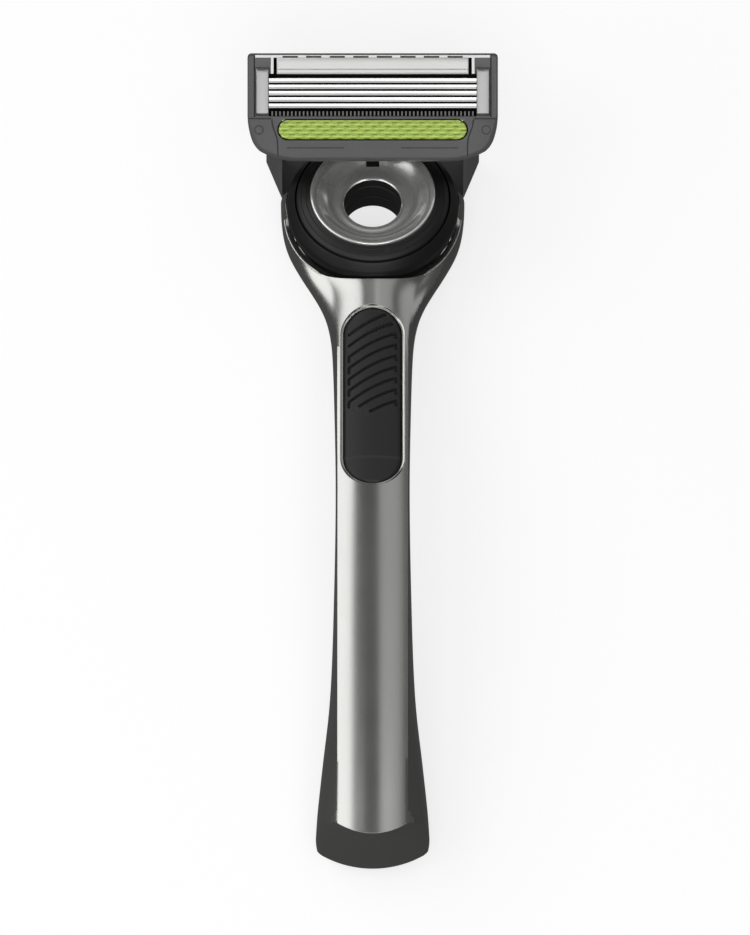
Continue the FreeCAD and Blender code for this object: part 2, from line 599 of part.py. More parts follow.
front = turned("front_body", "front_bezel", [
    ("hole_rad", "-wall_end"), ("sleeve_rad", "-wall_end"), ("sleeve_rad", "-dish_deep - 1.4"),
    ("rim_rad", "-dish_deep - 1.4"), ("rim_rad", "-0.25", 0.45), ("rim_rad - 0.55", "-0.05"),
    ("8.9", "-1.55", -6.0), ("6.9", "-dish_deep", 4.5), ("5.5", "-2.6", 1.3),
    ("hole_rad", "-wall_top")])
keep(front, "front_bezel", "disc")

sleeve = turned("sleeve_body", "hole_sleeve", [
    ("hole_rad", "-sleeve_end"), ("sleeve_rad", "-sleeve_end"), ("sleeve_rad", "-wall_end"),
    ("hole_rad", "-wall_end")])
keep(sleeve, "hole_sleeve", "disc")

rear = turned("rear_body", "rear_bezel", [
    ("sleeve_rad", "-yoke_front - yoke_thick - rear_trim_thick"),
    ("6.9", "-yoke_front - yoke_thick - rear_trim_thick"), ("7.3", "-yoke_front - yoke_thick"),
    ("sleeve_rad", "-yoke_front - yoke_thick")])
keep(rear, "rear_bezel", "disc")

screws = []
for number, (x, y) in enumerate(screw_spots):
    screws.append(rod("yoke_screw_shank_%d" % number, "screw_rad", "screw_long", str(x), str(y),
                      "-yoke_front - yoke_thick"))
    screws.append(rod("yoke_screw_head_%d" % number, "screw_head", "0.5", str(x), str(y),
                      "-yoke_front - yoke_thick - 0.5"))
pairs = [fuse("yoke_screw_%d" % number, screws[number * 2:number * 2 + 2]) for number in range(4)]
keep(group("yoke_screws_group", pairs), "yoke_screws", "disc")

ring = turned("ring_body", "gimbal_ring", [
    ("ring_in", "-disc_centre - ring_low"), ("ring_out", "-disc_centre - ring_low"),
    ("ring_out", "-disc_centre + 1.0"), ("lip_out", "-disc_centre + 1.75"),
    ("lip_out", "-disc_centre + lip_edge"), ("13.75", "-disc_centre + 4.3"),
    ("13.3", "-disc_centre + lip_top"), ("13.0069", "-disc_centre + lip_top", -13.9),
    ("13.7695", "-disc_centre + ring_high"), ("ring_in", "-disc_centre + ring_high")])
ring_tools = []
for side, sign in SIDES:
    ring_tools.append(rod("ring_pitch_hole_" + side, "pitch_pin_rad", "4",
                          "11" if sign > 0 else "-15", "0", "-disc_centre", "x"))
for tag, sign in (("high", 1), ("low", -1)):
    ring_tools.append(rod("ring_roll_hole_" + tag, "roll_pin_rad + small_play", "4", "0",
                          "11" if sign > 0 else "-15", "-disc_centre", "y"))
keep(cut("ring_cut", ring, ring_tools), "gimbal_ring", "disc")

for side, sign in SIDES:
    pin = rod("pitch_rod_" + side, "pitch_pin_rad", "pitch_pin_out - pitch_pin_in",
              "pitch_pin_in" if sign > 0 else "-pitch_pin_out", "0", "-disc_centre", "x")
    keep(group("pitch_pin_%s_group" % side, [pin]), "pitch_pin_" + side, "disc")
for tag, sign in (("upper", 1), ("lower", -1)):
    pin = rod("roll_rod_" + tag, "roll_pin_rad", "roll_pin_out - roll_pin_in", "0",
              "roll_pin_in" if sign > 0 else "-roll_pin_out", "-disc_centre", "y")
    keep(group("roll_pin_%s_group" % tag, [pin]), "roll_pin_" + tag, "disc")

# ---------------------------------------------------------------- handle (handle frame)


def station(index, drop):
    """Closed section of the handle: front crown, right side, back, left side."""
    row_y, crease, wide, front, crown, mid, under, low = [
        size("station_%d_%s" % (index, field)) for field in FIELDS]
    front = front - drop
    edge = front - crease * crease / (2 * crown)
    rise = size("back_rise") if low > 0.05 else 0.0
    face = []
    for step in (-1.0, -0.6, 0.0, 0.6, 1.0):
        x = crease * step
        face.append(Vector(x, row_y, front - x * x / (2 * crown)))
    right = [Vector(crease, row_y, edge),
             Vector(crease + (wide - crease) * 0.72, row_y, edge - (edge - mid) * 0.42),
             Vector(wide, row_y, mid),
             Vector(wide - (wide - under) * 0.3, row_y, mid - (mid - low - rise) * 0.68),
             Vector(under, row_y, low + rise)]
    base = [Vector(under, row_y, low + rise), Vector(under * 0.5, row_y, low + rise * 0.25),
            Vector(0, row_y, low), Vector(-under * 0.5, row_y, low + rise * 0.25),
            Vector(-under, row_y, low + rise)]
    left = [Vector(-spot.x, spot.y, spot.z) for spot in reversed(right)]
    edges = []
    for spots in (face, right, base, left):
        curve = Part.BSplineCurve()
        curve.interpolate(spots)
        edges.append(curve.toShape())
    return Part.Wire(edges)


def handle_solid(name, drop=0.0):
    wires = [station(index, drop) for index in range(len(STATIONS))]
    item = doc.addObject("Part::Feature", name)
    item.Shape = Part.makeLoft(wires, True, False)
    return item


def butt_outline(index):
    """Butt at one level: a shallow arc across the end, a rounded corner each side, straight sides."""
    level, half, end, across, corner = [size("butt_%d_%s" % (index, field)) for field in BUTT_FIELDS]
    top = size("butt_open")
    middle = Vector(0, end + across, level)
    drop = math.sqrt((across - corner) ** 2 - (half - corner) ** 2)
    edges = []
    touches = []
    for side in (1, -1):
        centre = Vector(side * (half - corner), middle.y - drop, level)
        away = (centre - middle).normalize()
        touch = centre + away * corner
        between = (away + Vector(side, 0, 0)).normalize()
        outer = Vector(side * half, centre.y, level)
        edges.append(Part.LineSegment(Vector(side * half, top, level), outer).toShape())
        edges.append(Part.Arc(outer, centre + between * corner, touch).toShape())
        touches.append(touch)
    edges.append(Part.Arc(touches[0], Vector(0, end, level), touches[1]).toShape())
    edges.append(Part.LineSegment(Vector(-half, top, level), Vector(half, top, level)).toShape())
    return Part.Wire(Part.__sortEdges__(edges))


def butt_loft(name):
    """Solid that rounds the butt: level by level it grows from the crease's round end to the base."""
    outlines = [butt_outline(index) for index in range(len(BUTT))]
    solid = Part.makeLoft(outlines[0:2], True, True)
    for index in range(1, len(outlines) - 1):
        solid = solid.fuse(Part.makeLoft(outlines[index:index + 2], True, True))
    item = doc.addObject("Part::Feature", name)
    item.Shape = solid
    return item


def trimmed_handle(name):
    """Handle with its butt rounded and everything below the table plane removed."""
    shaft_zone = box(name + "_shaft_zone", "-20", "butt_start", "0", "40", "130", "30")
    butt_zone = box(name + "_butt_zone", "-20", "-130", "0", "40", "130 + butt_start", "30")
    shaft = common(name + "_shaft", [handle_solid(name + "_whole"), shaft_zone])
    butt = common(name + "_butt", [handle_solid(name + "_copy"), butt_zone])
    butt = common(name + "_butt_end", [butt, butt_loft(name + "_butt_round")])
    return fuse(name + "_trimmed", [shaft, butt])


cup_tools = []
cup_tools.append(rod("cup_bore_tool", "cup_bore", "40", "0", "0", "-25"))
cup_tools.append(rod("lip_tool", "cup_lip", "20", "0", "0", "-lip_floor"))
deep_rod = rod("lip_deep_rod", "cup_lip", "6", "0", "0", "-lip_deep")
deep_zone = box("lip_deep_zone", "-20", "-20", "-lip_deep - 1", "40", "20 + lip_split", "8")
cup_tools.append(common("lip_deep_tool", [deep_rod, deep_zone]))
cup_tools.append(box("arm_tool", "-25", "arm_end", "-40", "50", "40", "60"))
cup_tools.append(rod("pitch_hole_tool", "pitch_pin_rad + small_play", "pitch_pin_out * 2 + 0.1",
                     "-pitch_pin_out - 0.05", "0", "-disc_centre", "x"))
for tool in cup_tools[0:2] + [deep_rod]:
    tool.Placement = Placement(tool.Placement.Base, Rotation(Vector(0, 0, 1), 90))
cups = []
for number, tool in enumerate(cup_tools):
    cup = group("cup_tool_%d" % number, [tool])
    cup.Placement = Placement(Vector(0, 0, size("rim_z")), Rotation(Vector(1, 0, 0), -size("disc_tilt")))
    cups.append([cup])

grip_zone = new_body("grip_zone")
grip_half = size("grip_half")
grip_shape = [("-grip_half", "grip_low + grip_half", grip_half), ("0", "grip_low", grip_half),
              ("grip_half", "grip_low + grip_half"), ("grip_half", "grip_high - grip_half", grip_half),
              ("0", "grip_high", grip_half), ("-grip_half", "grip_high - grip_half")]
pad(grip_zone, draw(grip_zone, "XY_Plane", "grip_outline", grip_shape, "grip_base"), "grip_zone_pad", "20")
grip_inner = new_body("grip_inner")
inner_half = grip_half - size("grip_gap")
inner_shape = [("-grip_half + grip_gap", "grip_low + grip_half", inner_half),
               ("0", "grip_low + grip_gap", inner_half),
               ("grip_half - grip_gap", "grip_low + grip_half"),
               ("grip_half - grip_gap", "grip_high - grip_half", inner_half),
               ("0", "grip_high - grip_gap", inner_half),
               ("-grip_half + grip_gap", "grip_high - grip_half")]
pad(grip_inner, draw(grip_inner, "XY_Plane", "grip_inner_outline", inner_shape, "grip_base"),
    "grip_inner_pad", "20")
floor = handle_solid("grip_floor", size("grip_deep"))
skin = handle_solid("grip_skin", size("grip_sunk"))
recess = cut("grip_recess", grip_zone, [floor])

split = new_body("cover_split")
ridge = []
for index in range(len(STATIONS)):
    y = size("station_%d_y" % index)
    if size("cover_stop") < y < size("cover_start"):
        ridge.append(("station_%d_y" % index, "station_%d_back + cover_skin" % index))
shape = [("cover_start", "-5")] + [("cover_start", "cover_lead")] + ridge
shape += [("cover_stop", "cover_skin"), ("cover_stop", "-5")]
pad(split, draw(split, "YZ_Plane", "split_section", shape), "split_pad", "cover_half * 2", both=True)

cavity = new_body("cavity_body")
ridge = []
for index in range(len(STATIONS)):
    y = size("station_%d_y" % index)
    if size("cavity_stop") < y < size("cavity_start"):
        ridge.append(("station_%d_y" % index, "station_%d_front - front_wall" % index))
shape = [("cavity_start", "3"), ("cavity_start", "15.0")] + ridge
shape += [("cavity_stop", "11.6"), ("cavity_stop", "1")]
pad(cavity, draw(cavity, "YZ_Plane", "cavity_section", shape), "cavity_pad", "cavity_half * 2", both=True)
hollow = cut("hollow", cavity, [split])

COVER_SCREWS = [(-30.5, 7.0), (-57.0, 8.2), (-114.0, 0.0)]
cover_heads = []
cover_shanks = []
cover_screws = []
for number, (y, back) in enumerate(COVER_SCREWS):
    seat = "%s + screw_sink" % back
    cover_heads.append(rod("head_seat_%d" % number, "screw_head + 0.1", "20 + " + seat, "0", str(y),
                           "-20"))
    cover_shanks.append(rod("shank_hole_%d" % number, "screw_rad", "screw_reach", "0", str(y), seat))
    head = rod("cover_head_%d" % number, "screw_head", "0.5", "0", str(y), seat + " - 0.5")
    shank = rod("cover_shank_%d" % number, "screw_rad", "screw_reach", "0", str(y), seat)
    cover_screws.append(fuse("cover_screw_%d" % number, [head, shank]))

trimmed = trimmed_handle("handle")
for number, tools in enumerate(cups + [[recess], [split], [hollow], cover_shanks]):
    trimmed = cut("handle_cut_%d" % number, trimmed, tools)
keep(trimmed, "handle_body", "row")

cover = common("cover_raw", [trimmed_handle("cover"), split])
keep(cut("cover_cut", cover, cover_heads + [doc.copyObject(tool) for tool in cover_shanks]),
     "rear_cover", "row")
keep(group("cover_screws_group", cover_screws), "cover_screws", "row")
keep(cut("grip_cut", common("grip_raw", [grip_inner, skin]), [handle_solid("grip_floor_2",
     size("grip_deep"))]), "thumb_grip", "row")

weight = new_body("weight_body")
shape = [("weight_high", "11.0"), ("weight_high", "14.6"), ("weight_low", "12.5"), ("weight_low", "6.3")]
pad(weight, draw(weight, "YZ_Plane", "weight_section", shape), "weight_pad",
    "cavity_half * 2 - weight_gap * 2", both=True)
keep(weight, "balance_weight", "row")
dock = box("dock_block", "-cavity_half + weight_gap", "dock_low", "dock_base",
           "cavity_half * 2 - weight_gap * 2", "dock_high - dock_low", "dock_thick")
keep(group("dock_group", [dock]), "dock_plate", "row")

# ---------------------------------------------------------------- checks and files
doc.recompute()
for item in doc.Objects:
    if "Invalid" in item.State or "Error" in item.State:
        raise RuntimeError("%s: %s" % (item.Name, item.State))
os.makedirs("parts", exist_ok=True)
for item in NODES:
    if item.Shape.isNull() or not item.Shape.isValid() or not item.Shape.Solids:
        raise RuntimeError("bad shape: " + item.Label)
    item.Shape.exportStep("parts/%s.step" % item.Label)
    bounds = item.Shape.BoundBox
    print("%-20s solids %d volume %9.2f x %6.2f %6.2f y %7.2f %7.2f z %6.2f %6.2f" % (
        item.Label, len(item.Shape.Solids), item.Shape.Volume, bounds.XMin, bounds.XMax,
        bounds.YMin, bounds.YMax, bounds.ZMin, bounds.ZMax))
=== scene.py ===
import json
import math

import bmesh
import bpy
import numpy as np
from mathutils import Matrix, Vector


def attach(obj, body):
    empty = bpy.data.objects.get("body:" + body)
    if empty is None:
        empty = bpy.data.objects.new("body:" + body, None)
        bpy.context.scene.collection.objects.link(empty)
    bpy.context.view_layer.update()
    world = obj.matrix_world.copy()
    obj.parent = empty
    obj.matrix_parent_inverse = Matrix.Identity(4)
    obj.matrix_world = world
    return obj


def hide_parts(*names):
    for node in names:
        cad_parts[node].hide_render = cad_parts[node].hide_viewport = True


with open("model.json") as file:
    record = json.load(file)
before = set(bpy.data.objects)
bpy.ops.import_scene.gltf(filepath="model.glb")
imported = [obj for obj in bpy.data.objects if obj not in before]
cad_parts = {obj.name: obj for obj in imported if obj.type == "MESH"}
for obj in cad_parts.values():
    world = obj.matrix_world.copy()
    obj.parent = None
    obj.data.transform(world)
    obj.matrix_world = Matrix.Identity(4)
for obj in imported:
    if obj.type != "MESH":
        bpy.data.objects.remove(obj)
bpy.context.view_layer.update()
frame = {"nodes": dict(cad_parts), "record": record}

MM = 0.001
record = frame["record"]
# The disc's frame starts at its rim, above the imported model's hole. Lengths in this file are in millimetres.
disc_turn = math.radians(-13.0)
head_turn = math.radians(26.0)
HOLE_TO_RIM = 7.05
HEAD_AT = (0, 3.70, 4.73)
hole = [mount for mount in record["mounts"] if mount["name"] == "hanging_hole"][0]
out = Vector(hole["axis"]) * -1
RIM = Vector(hole["pos_m"]) + out * HOLE_TO_RIM * MM
DISC = Matrix.Translation(RIM) @ Matrix.Rotation(disc_turn, 4, "X")
HEAD = Matrix.Translation(RIM + Vector(HEAD_AT) * MM) @ Matrix.Rotation(head_turn, 4, "X")
HANDLE = Matrix.Translation(Vector((0, RIM.y, 0)))

# ------------------------------------------------------------------ materials


def material(name, color, rough, metal, noise, bump, brush=(1, 1, 1), spec=0.5, round_edges=0.12,
             edge_highlight=0.0, vary=0.06):
    """Procedural surface: tone variation, uneven gloss, fine grain, softened edges and a painted highlight on
    convex edges.

    noise is the grain's scale and brush its stretch, bump its strength and height, and vary how much it
    changes the tone. round_edges is the radius of the softened edges; the next argument sets how much lighter
    the convex edges are painted, a painted highlight standing in for the light that rounded edges catch."""
    mat = bpy.data.materials.new(name)
    mat.use_nodes = True
    tree = mat.node_tree
    nodes, links = tree.nodes, tree.links
    shader = nodes["Principled BSDF"]
    shader.inputs["Metallic"].default_value = metal
    shader.inputs["Specular IOR Level"].default_value = spec
    coord = nodes.new("ShaderNodeTexCoord")
    mapping = nodes.new("ShaderNodeMapping")
    links.new(coord.outputs["Object"], mapping.inputs["Vector"])
    mapping.inputs["Scale"].default_value = brush
    grain = nodes.new("ShaderNodeTexNoise")
    grain.inputs["Scale"].default_value = noise
    grain.inputs["Detail"].default_value = 4
    links.new(mapping.outputs["Vector"], grain.inputs["Vector"])
    broad = nodes.new("ShaderNodeTexNoise")
    broad.inputs["Scale"].default_value = 90
    broad.inputs["Detail"].default_value = 3
    links.new(coord.outputs["Object"], broad.inputs["Vector"])
    tone = nodes.new("ShaderNodeMapRange")
    tone.inputs["To Min"].default_value = 1 - vary
    tone.inputs["To Max"].default_value = 1 + vary
    links.new(grain.outputs["Fac"], tone.inputs["Value"])
    mix = nodes.new("ShaderNodeMix")
    mix.data_type = "RGBA"
    mix.blend_type = "MULTIPLY"
    mix.inputs["Factor"].default_value = 1.0
    mix.inputs["A"].default_value = (*color, 1)
    links.new(tone.outputs["Result"], mix.inputs["B"])
    last = mix.outputs["Result"]
    # painted highlight: convex edges, found by pointiness, are lightened towards a paler copy of the colour to
    # stand in for edge highlights
    if edge_highlight:
        geo = nodes.new("ShaderNodeNewGeometry")
        ramp = nodes.new("ShaderNodeMapRange")
        ramp.inputs["From Min"].default_value = 0.52
        ramp.inputs["From Max"].default_value = 0.62
        links.new(geo.outputs["Pointiness"], ramp.inputs["Value"])
        edge_highlight_share = nodes.new("ShaderNodeMath")
        edge_highlight_share.operation = "MULTIPLY"
        edge_highlight_share.inputs[1].default_value = edge_highlight
        links.new(ramp.outputs["Result"], edge_highlight_share.inputs[0])
        lift = nodes.new("ShaderNodeMix")
        lift.data_type = "RGBA"
        links.new(edge_highlight_share.outputs["Value"], lift.inputs["Factor"])
        links.new(last, lift.inputs["A"])
        bright = tuple(min(1.0, part * 1.6 + 0.05) for part in color)
        lift.inputs["B"].default_value = (*bright, 1)
        last = lift.outputs["Result"]
    links.new(last, shader.inputs["Base Color"])
    gloss = nodes.new("ShaderNodeMapRange")
    gloss.inputs["To Min"].default_value = max(0.02, rough - 0.05)
    gloss.inputs["To Max"].default_value = rough + 0.05
    links.new(broad.outputs["Fac"], gloss.inputs["Value"])
    links.new(gloss.outputs["Result"], shader.inputs["Roughness"])
    lump = nodes.new("ShaderNodeBump")
    lump.inputs["Strength"].default_value = bump[0]
    lump.inputs["Distance"].default_value = bump[1] * MM
    links.new(grain.outputs["Fac"], lump.inputs["Height"])
    if round_edges:
        bevel = nodes.new("ShaderNodeBevel")
        bevel.samples = 4
        bevel.inputs["Radius"].default_value = round_edges * MM
        links.new(bevel.outputs["Normal"], lump.inputs["Normal"])
    links.new(lump.outputs["Normal"], shader.inputs["Normal"])
    return mat


BRUSH = (60, 1, 60)
LENGTHWISE = (1, 40, 40)
mats = {
    "handle_front": material("handle_front", (0.52, 0.52, 0.50), 0.25, 1.0, 90, (0.06, 0.01),
                             brush=BRUSH, vary=0.04),
    # darker copy of the handle metal for the flanks and back: painted shade standing in for the dark
    # reflections of the same metal as the front
    "handle_flank_painted_shade": material("handle_flank_painted_shade", (0.17, 0.17, 0.165), 0.32, 0.75, 90, (0.06, 0.01),
                            brush=BRUSH, vary=0.05),
    "bezel": material("bezel_silver", (0.92, 0.92, 0.90), 0.17, 0.80, 500, (0.05, 0.01),
                      vary=0.03),
    "black": material("black_plastic", (0.006, 0.006, 0.006), 0.42, 0.0, 1500, (0.12, 0.02),
                      edge_highlight=0.12, spec=0.4),
    "sleeve": material("sleeve_rubber", (0.006, 0.006, 0.006), 0.6, 0.0, 1500, (0.2, 0.03)),
    "rubber": material("grip_rubber", (0.020, 0.020, 0.020), 0.55, 0.0, 1800, (0.35, 0.03),
                       edge_highlight=0.15, round_edges=0.08, spec=0.4),
    "grey": material("cartridge_grey", (0.090, 0.090, 0.090), 0.45, 0.0, 1600, (0.22, 0.025),
                     edge_highlight=0.25, round_edges=0.12),
    "dark_grey": material("yoke_grey", (0.060, 0.060, 0.060), 0.5, 0.0, 1600,
                          (0.22, 0.025), edge_highlight=0.2),
    # three copies of the bar's green: plain, a lighter one that is a painted highlight and a darker one that
    # is painted shade
    "green": material("bar_green", (0.44, 0.60, 0.10), 0.42, 0.0, 700, (0.08, 0.02),
                      round_edges=0.0, vary=0.08),
    "green_painted_highlight": material("bar_green_painted_highlight", (0.70, 0.88, 0.25), 0.35, 0.0, 700, (0.08, 0.02),
                            round_edges=0.0, vary=0.08),
    "green_painted_shade": material("bar_green_painted_shade", (0.20, 0.30, 0.025), 0.5, 0.0, 700, (0.08, 0.02),
                           round_edges=0.0, vary=0.08),
    "strip": material("strip_silver", (0.76, 0.76, 0.75), 0.38, 0.2, 600, (0.1, 0.02),
                      brush=LENGTHWISE),
    "rail": material("rail_pale", (0.78, 0.78, 0.77), 0.35, 0.2, 600, (0.1, 0.02),
                     round_edges=0.04),
    "blade": material("blade_steel", (0.80, 0.80, 0.80), 0.26, 1.0, 60, (0.05, 0.004),
                      brush=LENGTHWISE, round_edges=0.0, vary=0.05),
    # darker, blotchy copy of the blade steel for the ground edges: painted shade and painted reflection
    # standing in for how the edges catch the lamps
    "bevel": material("blade_bevel", (0.34, 0.34, 0.335), 0.28, 1.0, 40, (0.05, 0.01),
                      brush=LENGTHWISE, round_edges=0.0, vary=0.45),
    "clip": material("clip_metal", (0.32, 0.32, 0.318), 0.34, 1.0, 300, (0.1, 0.015),
                     brush=BRUSH),
    # near-white metal for the tube along the cup's lip, a painted highlight
    "lip": material("lip_painted_highlight", (0.95, 0.95, 0.94), 0.3, 1.0, 90, (0.05, 0.01)),
    "steel": material("plain_steel", (0.45, 0.45, 0.44), 0.35, 1.0, 800, (0.1, 0.01)),
    "fin": material("fin_pale", (0.19, 0.19, 0.188), 0.5, 0.0, 1500, (0.1, 0.01),
                    round_edges=0.05),
    "bed": material("bed_black", (0.004, 0.004, 0.004), 0.8, 0.0, 1500, (0.1, 0.01), spec=0.1),
}

# ------------------------------------------------------------------ mesh helpers


def new_piece(name, verts, faces, mat, body, place=None, smooth=35, indices=None):
    """Mesh object from millimetre points; a piece without a body is a tool or is finished later."""
    mesh = bpy.data.meshes.new(name)
    points = [Vector(spot) * MM for spot in verts]
    if place is not None:
        points = [place @ spot for spot in points]
    mesh.from_pydata(points, [], faces)
    mesh.validate()
    piece = bpy.data.objects.new(name, mesh)
    bpy.context.scene.collection.objects.link(piece)
    for one in (mat if isinstance(mat, (list, tuple)) else [mat]):
        mesh.materials.append(one)
    if indices is not None:
        for face, index in zip(mesh.polygons, indices):
            face.material_index = index
    tidy(piece)
    smooth_by_angle(piece, smooth)
    if body:
        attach(piece, body)
    return piece


def tidy(piece):
    """Turns the piece's faces outwards."""
    work = bmesh.new()
    work.from_mesh(piece.data)
    bmesh.ops.recalc_face_normals(work, faces=work.faces)
    work.to_mesh(piece.data)
    work.free()


def smooth_by_angle(piece, angle):
    """Smooth shading, with edges sharper than the angle in degrees kept."""
    mesh = piece.data
    for face in mesh.polygons:
        face.use_smooth = True
    mesh.set_sharp_from_angle(angle=math.radians(angle))


def settle(piece, place, smooth):
    """Moves a carved piece to its frame, then turns its faces outwards and smooths it again."""
    for vert in piece.data.vertices:
        vert.co = place @ vert.co
    tidy(piece)
    smooth_by_angle(piece, smooth)


def natural(xs, ys, at):
    """Natural cubic spline through (xs, ys), sampled at the given places."""
    xs = np.asarray(xs, float)
    ys = np.asarray(ys, float)
    n = len(xs)
    step = np.diff(xs)
    system = np.eye(n)
    right = np.zeros(n)
    for i in range(1, n - 1):
        system[i, i - 1] = step[i - 1]
        system[i, i] = 2 * (step[i - 1] + step[i])
        system[i, i + 1] = step[i]
        right[i] = 6 * ((ys[i + 1] - ys[i]) / step[i] - (ys[i] - ys[i - 1]) / step[i - 1])
    bend = np.linalg.solve(system, right)
    at = np.asarray(at, float)
    k = np.clip(np.searchsorted(xs, at) - 1, 0, n - 2)
    h = step[k]
    a = (xs[k + 1] - at) / h
    b = (at - xs[k]) / h
    return (a * ys[k] + b * ys[k + 1]
            + ((a ** 3 - a) * bend[k] + (b ** 3 - b) * bend[k + 1]) * h * h / 6)


def curve_through(points, count):
    """Smooth curve through 2-D points, as count samples."""
    points = np.asarray(points, float)
    chord = np.concatenate([[0], np.cumsum(np.hypot(*np.diff(points, axis=0).T))])
    at = np.linspace(0, chord[-1], count)
    return np.stack([natural(chord, points[:, 0], at), natural(chord, points[:, 1], at)], axis=1)


def lathe(name, profile, mat, body, place, around=160, smooth=30):
    """Turned ring: a closed profile of (radius, height) about the frame's z axis."""
    verts, faces = [], []
    count = len(profile)
    for step in range(around):
        turn = 2 * math.pi * step / around
        for radius, height in profile:
            verts.append((radius * math.cos(turn), radius * math.sin(turn), height))
    for step in range(around):
        after = (step + 1) % around
        for i in range(count):
            j = (i + 1) % count
            faces.append((step * count + i, after * count + i, after * count + j, step * count + j))
    return new_piece(name, verts, faces, mat, body, place, smooth)


def loft(name, rings, mat, body, place=None, smooth=35, caps=True, indices=None):
    """Skin over closed rings of equal length."""
    verts = [spot for ring in rings for spot in ring]
    count = len(rings[0])
    faces, marks = [], []
    for k in range(len(rings) - 1):
        for i in range(count):
            j = (i + 1) % count
            faces.append((k * count + i, k * count + j, (k + 1) * count + j, (k + 1) * count + i))
            if indices is not None:
                marks.append(indices[i])
    if caps:
        faces.append(tuple(range(count)))
        faces.append(tuple((len(rings) - 1) * count + i for i in range(count)))
        if indices is not None:
            marks += [1, 1]
    return new_piece(name, verts, faces, mat, body, place, smooth,
                     marks if indices is not None else None)


def carve(piece, tool):
    """Cuts the tool out of the piece and removes the tool."""
    cutter = piece.modifiers.new("carve", "BOOLEAN")
    cutter.operation = "DIFFERENCE"
    cutter.solver = "EXACT"
    cutter.object = tool
    apply_modifiers(piece)
    mesh = tool.data
    bpy.data.objects.remove(tool)
    bpy.data.meshes.remove(mesh)


def apply_modifiers(piece):
    """Replaces the piece's mesh by what its modifiers make of it."""
    graph = bpy.context.evaluated_depsgraph_get()
    mesh = bpy.data.meshes.new_from_object(piece.evaluated_get(graph))
    old = piece.data
    piece.modifiers.clear()
    piece.data = mesh
    bpy.data.meshes.remove(old)


def prism(name, outline, low, high, place=None, mat=None):
    """Straight block over a closed outline of (x, y) points."""
    rings = [[(x, y, low) for x, y in outline], [(x, y, high) for x, y in outline]]
    return loft(name, rings, mat or mats["black"], None, place)


def rounded_outline(corners, steps=10):
    """Outline from (x, y, radius) corners, each turned by an arc."""
    points = []
    n = len(corners)
    for i in range(n):
        here = Vector(corners[i][:2])
        before = (Vector(corners[i - 1][:2]) - here).normalized()
        after = (Vector(corners[(i + 1) % n][:2]) - here).normalized()
        radius = corners[i][2]
        if radius <= 0:
            points.append(tuple(here))
            continue
        half = math.acos(max(-1, min(1, before.dot(after)))) / 2
        reach = radius / math.tan(half)
        centre = here + (before + after).normalized() * (radius / math.sin(half))
        first = here + before * reach - centre
        last = here + after * reach - centre
        start = math.atan2(first.y, first.x)
        sweep = (math.atan2(last.y, last.x) - start + math.pi) % (2 * math.pi) - math.pi
        for step in range(steps + 1):
            turn = start + sweep * step / steps
            points.append((centre.x + radius * math.cos(turn), centre.y + radius * math.sin(turn)))
    return points


def oval(half, mid, radius, steps=24):
    """Outline of a slot that is round at both ends."""
    points = []
    for side, start in ((1, -math.pi / 2), (-1, math.pi / 2)):
        for step in range(steps + 1):
            turn = start + math.pi * step / steps
            points.append((side * (half - radius) + radius * math.cos(turn),
                           mid + radius * math.sin(turn)))
    return points


def bulge(first, last, radius, steps=10):
    """Arc of the given radius from first to last, turning left."""
    a, b = Vector(first), Vector(last)
    chord = b - a
    side = Vector((-chord.y, chord.x)).normalized()
    centre = (a + b) / 2 + side * math.sqrt(radius ** 2 - chord.length_squared / 4)
    start = math.atan2(a.y - centre.y, a.x - centre.x)
    sweep = (math.atan2(b.y - centre.y, b.x - centre.x) - start) % (2 * math.pi)
    return [(centre.x + radius * math.cos(start + sweep * k / steps),
             centre.y + radius * math.sin(start + sweep * k / steps)) for k in range(steps + 1)]


def inset(outline, by):
    """Anticlockwise outline with each point moved inwards by its own distance."""
    moved = []
    for k, spot in enumerate(outline):
        here = Vector(spot)
        before = (here - Vector(outline[k - 1])).normalized()
        after = (Vector(outline[(k + 1) % len(outline)]) - here).normalized()
        along = (before + after).normalized()
        moved.append(tuple(here + Vector((-along.y, along.x)) * by(spot)))
    return moved


def ribbon(points, width):
    """Closed outline of a line of the given width through the points."""
    spots = [Vector(point) for point in points]
    left, right = [], []
    for k, here in enumerate(spots):
        along = (spots[min(k + 1, len(spots) - 1)] - spots[max(k - 1, 0)]).normalized()
        side = Vector((-along.y, along.x)) * width / 2
        left.append(tuple(here + side))
        right.append(tuple(here - side))
    return right + left[::-1]


def side_box(sign, x0, x1, *rest):
    """One block for boxes(), between x0 and x1 from the middle on the right (1) or the left (-1)."""
    return (min(sign * x0, sign * x1), max(sign * x0, sign * x1), *rest)


def boxes(name, sizes, place):
    """Tool of separate blocks, each given as (x0, x1, y0, y1, z0, z1)."""
    verts, faces = [], []
    for x0, x1, y0, y1, z0, z1 in sizes:
        n = len(verts)
        verts += [(x, y, z) for z in (z0, z1) for y in (y0, y1) for x in (x0, x1)]
        for face in ((0, 2, 3, 1), (4, 5, 7, 6), (0, 1, 5, 4), (2, 6, 7, 3), (0, 4, 6, 2), (1, 3, 7, 5)):
            faces.append(tuple(n + k for k in face))
    return new_piece(name, verts, faces, mats["black"], None, place)


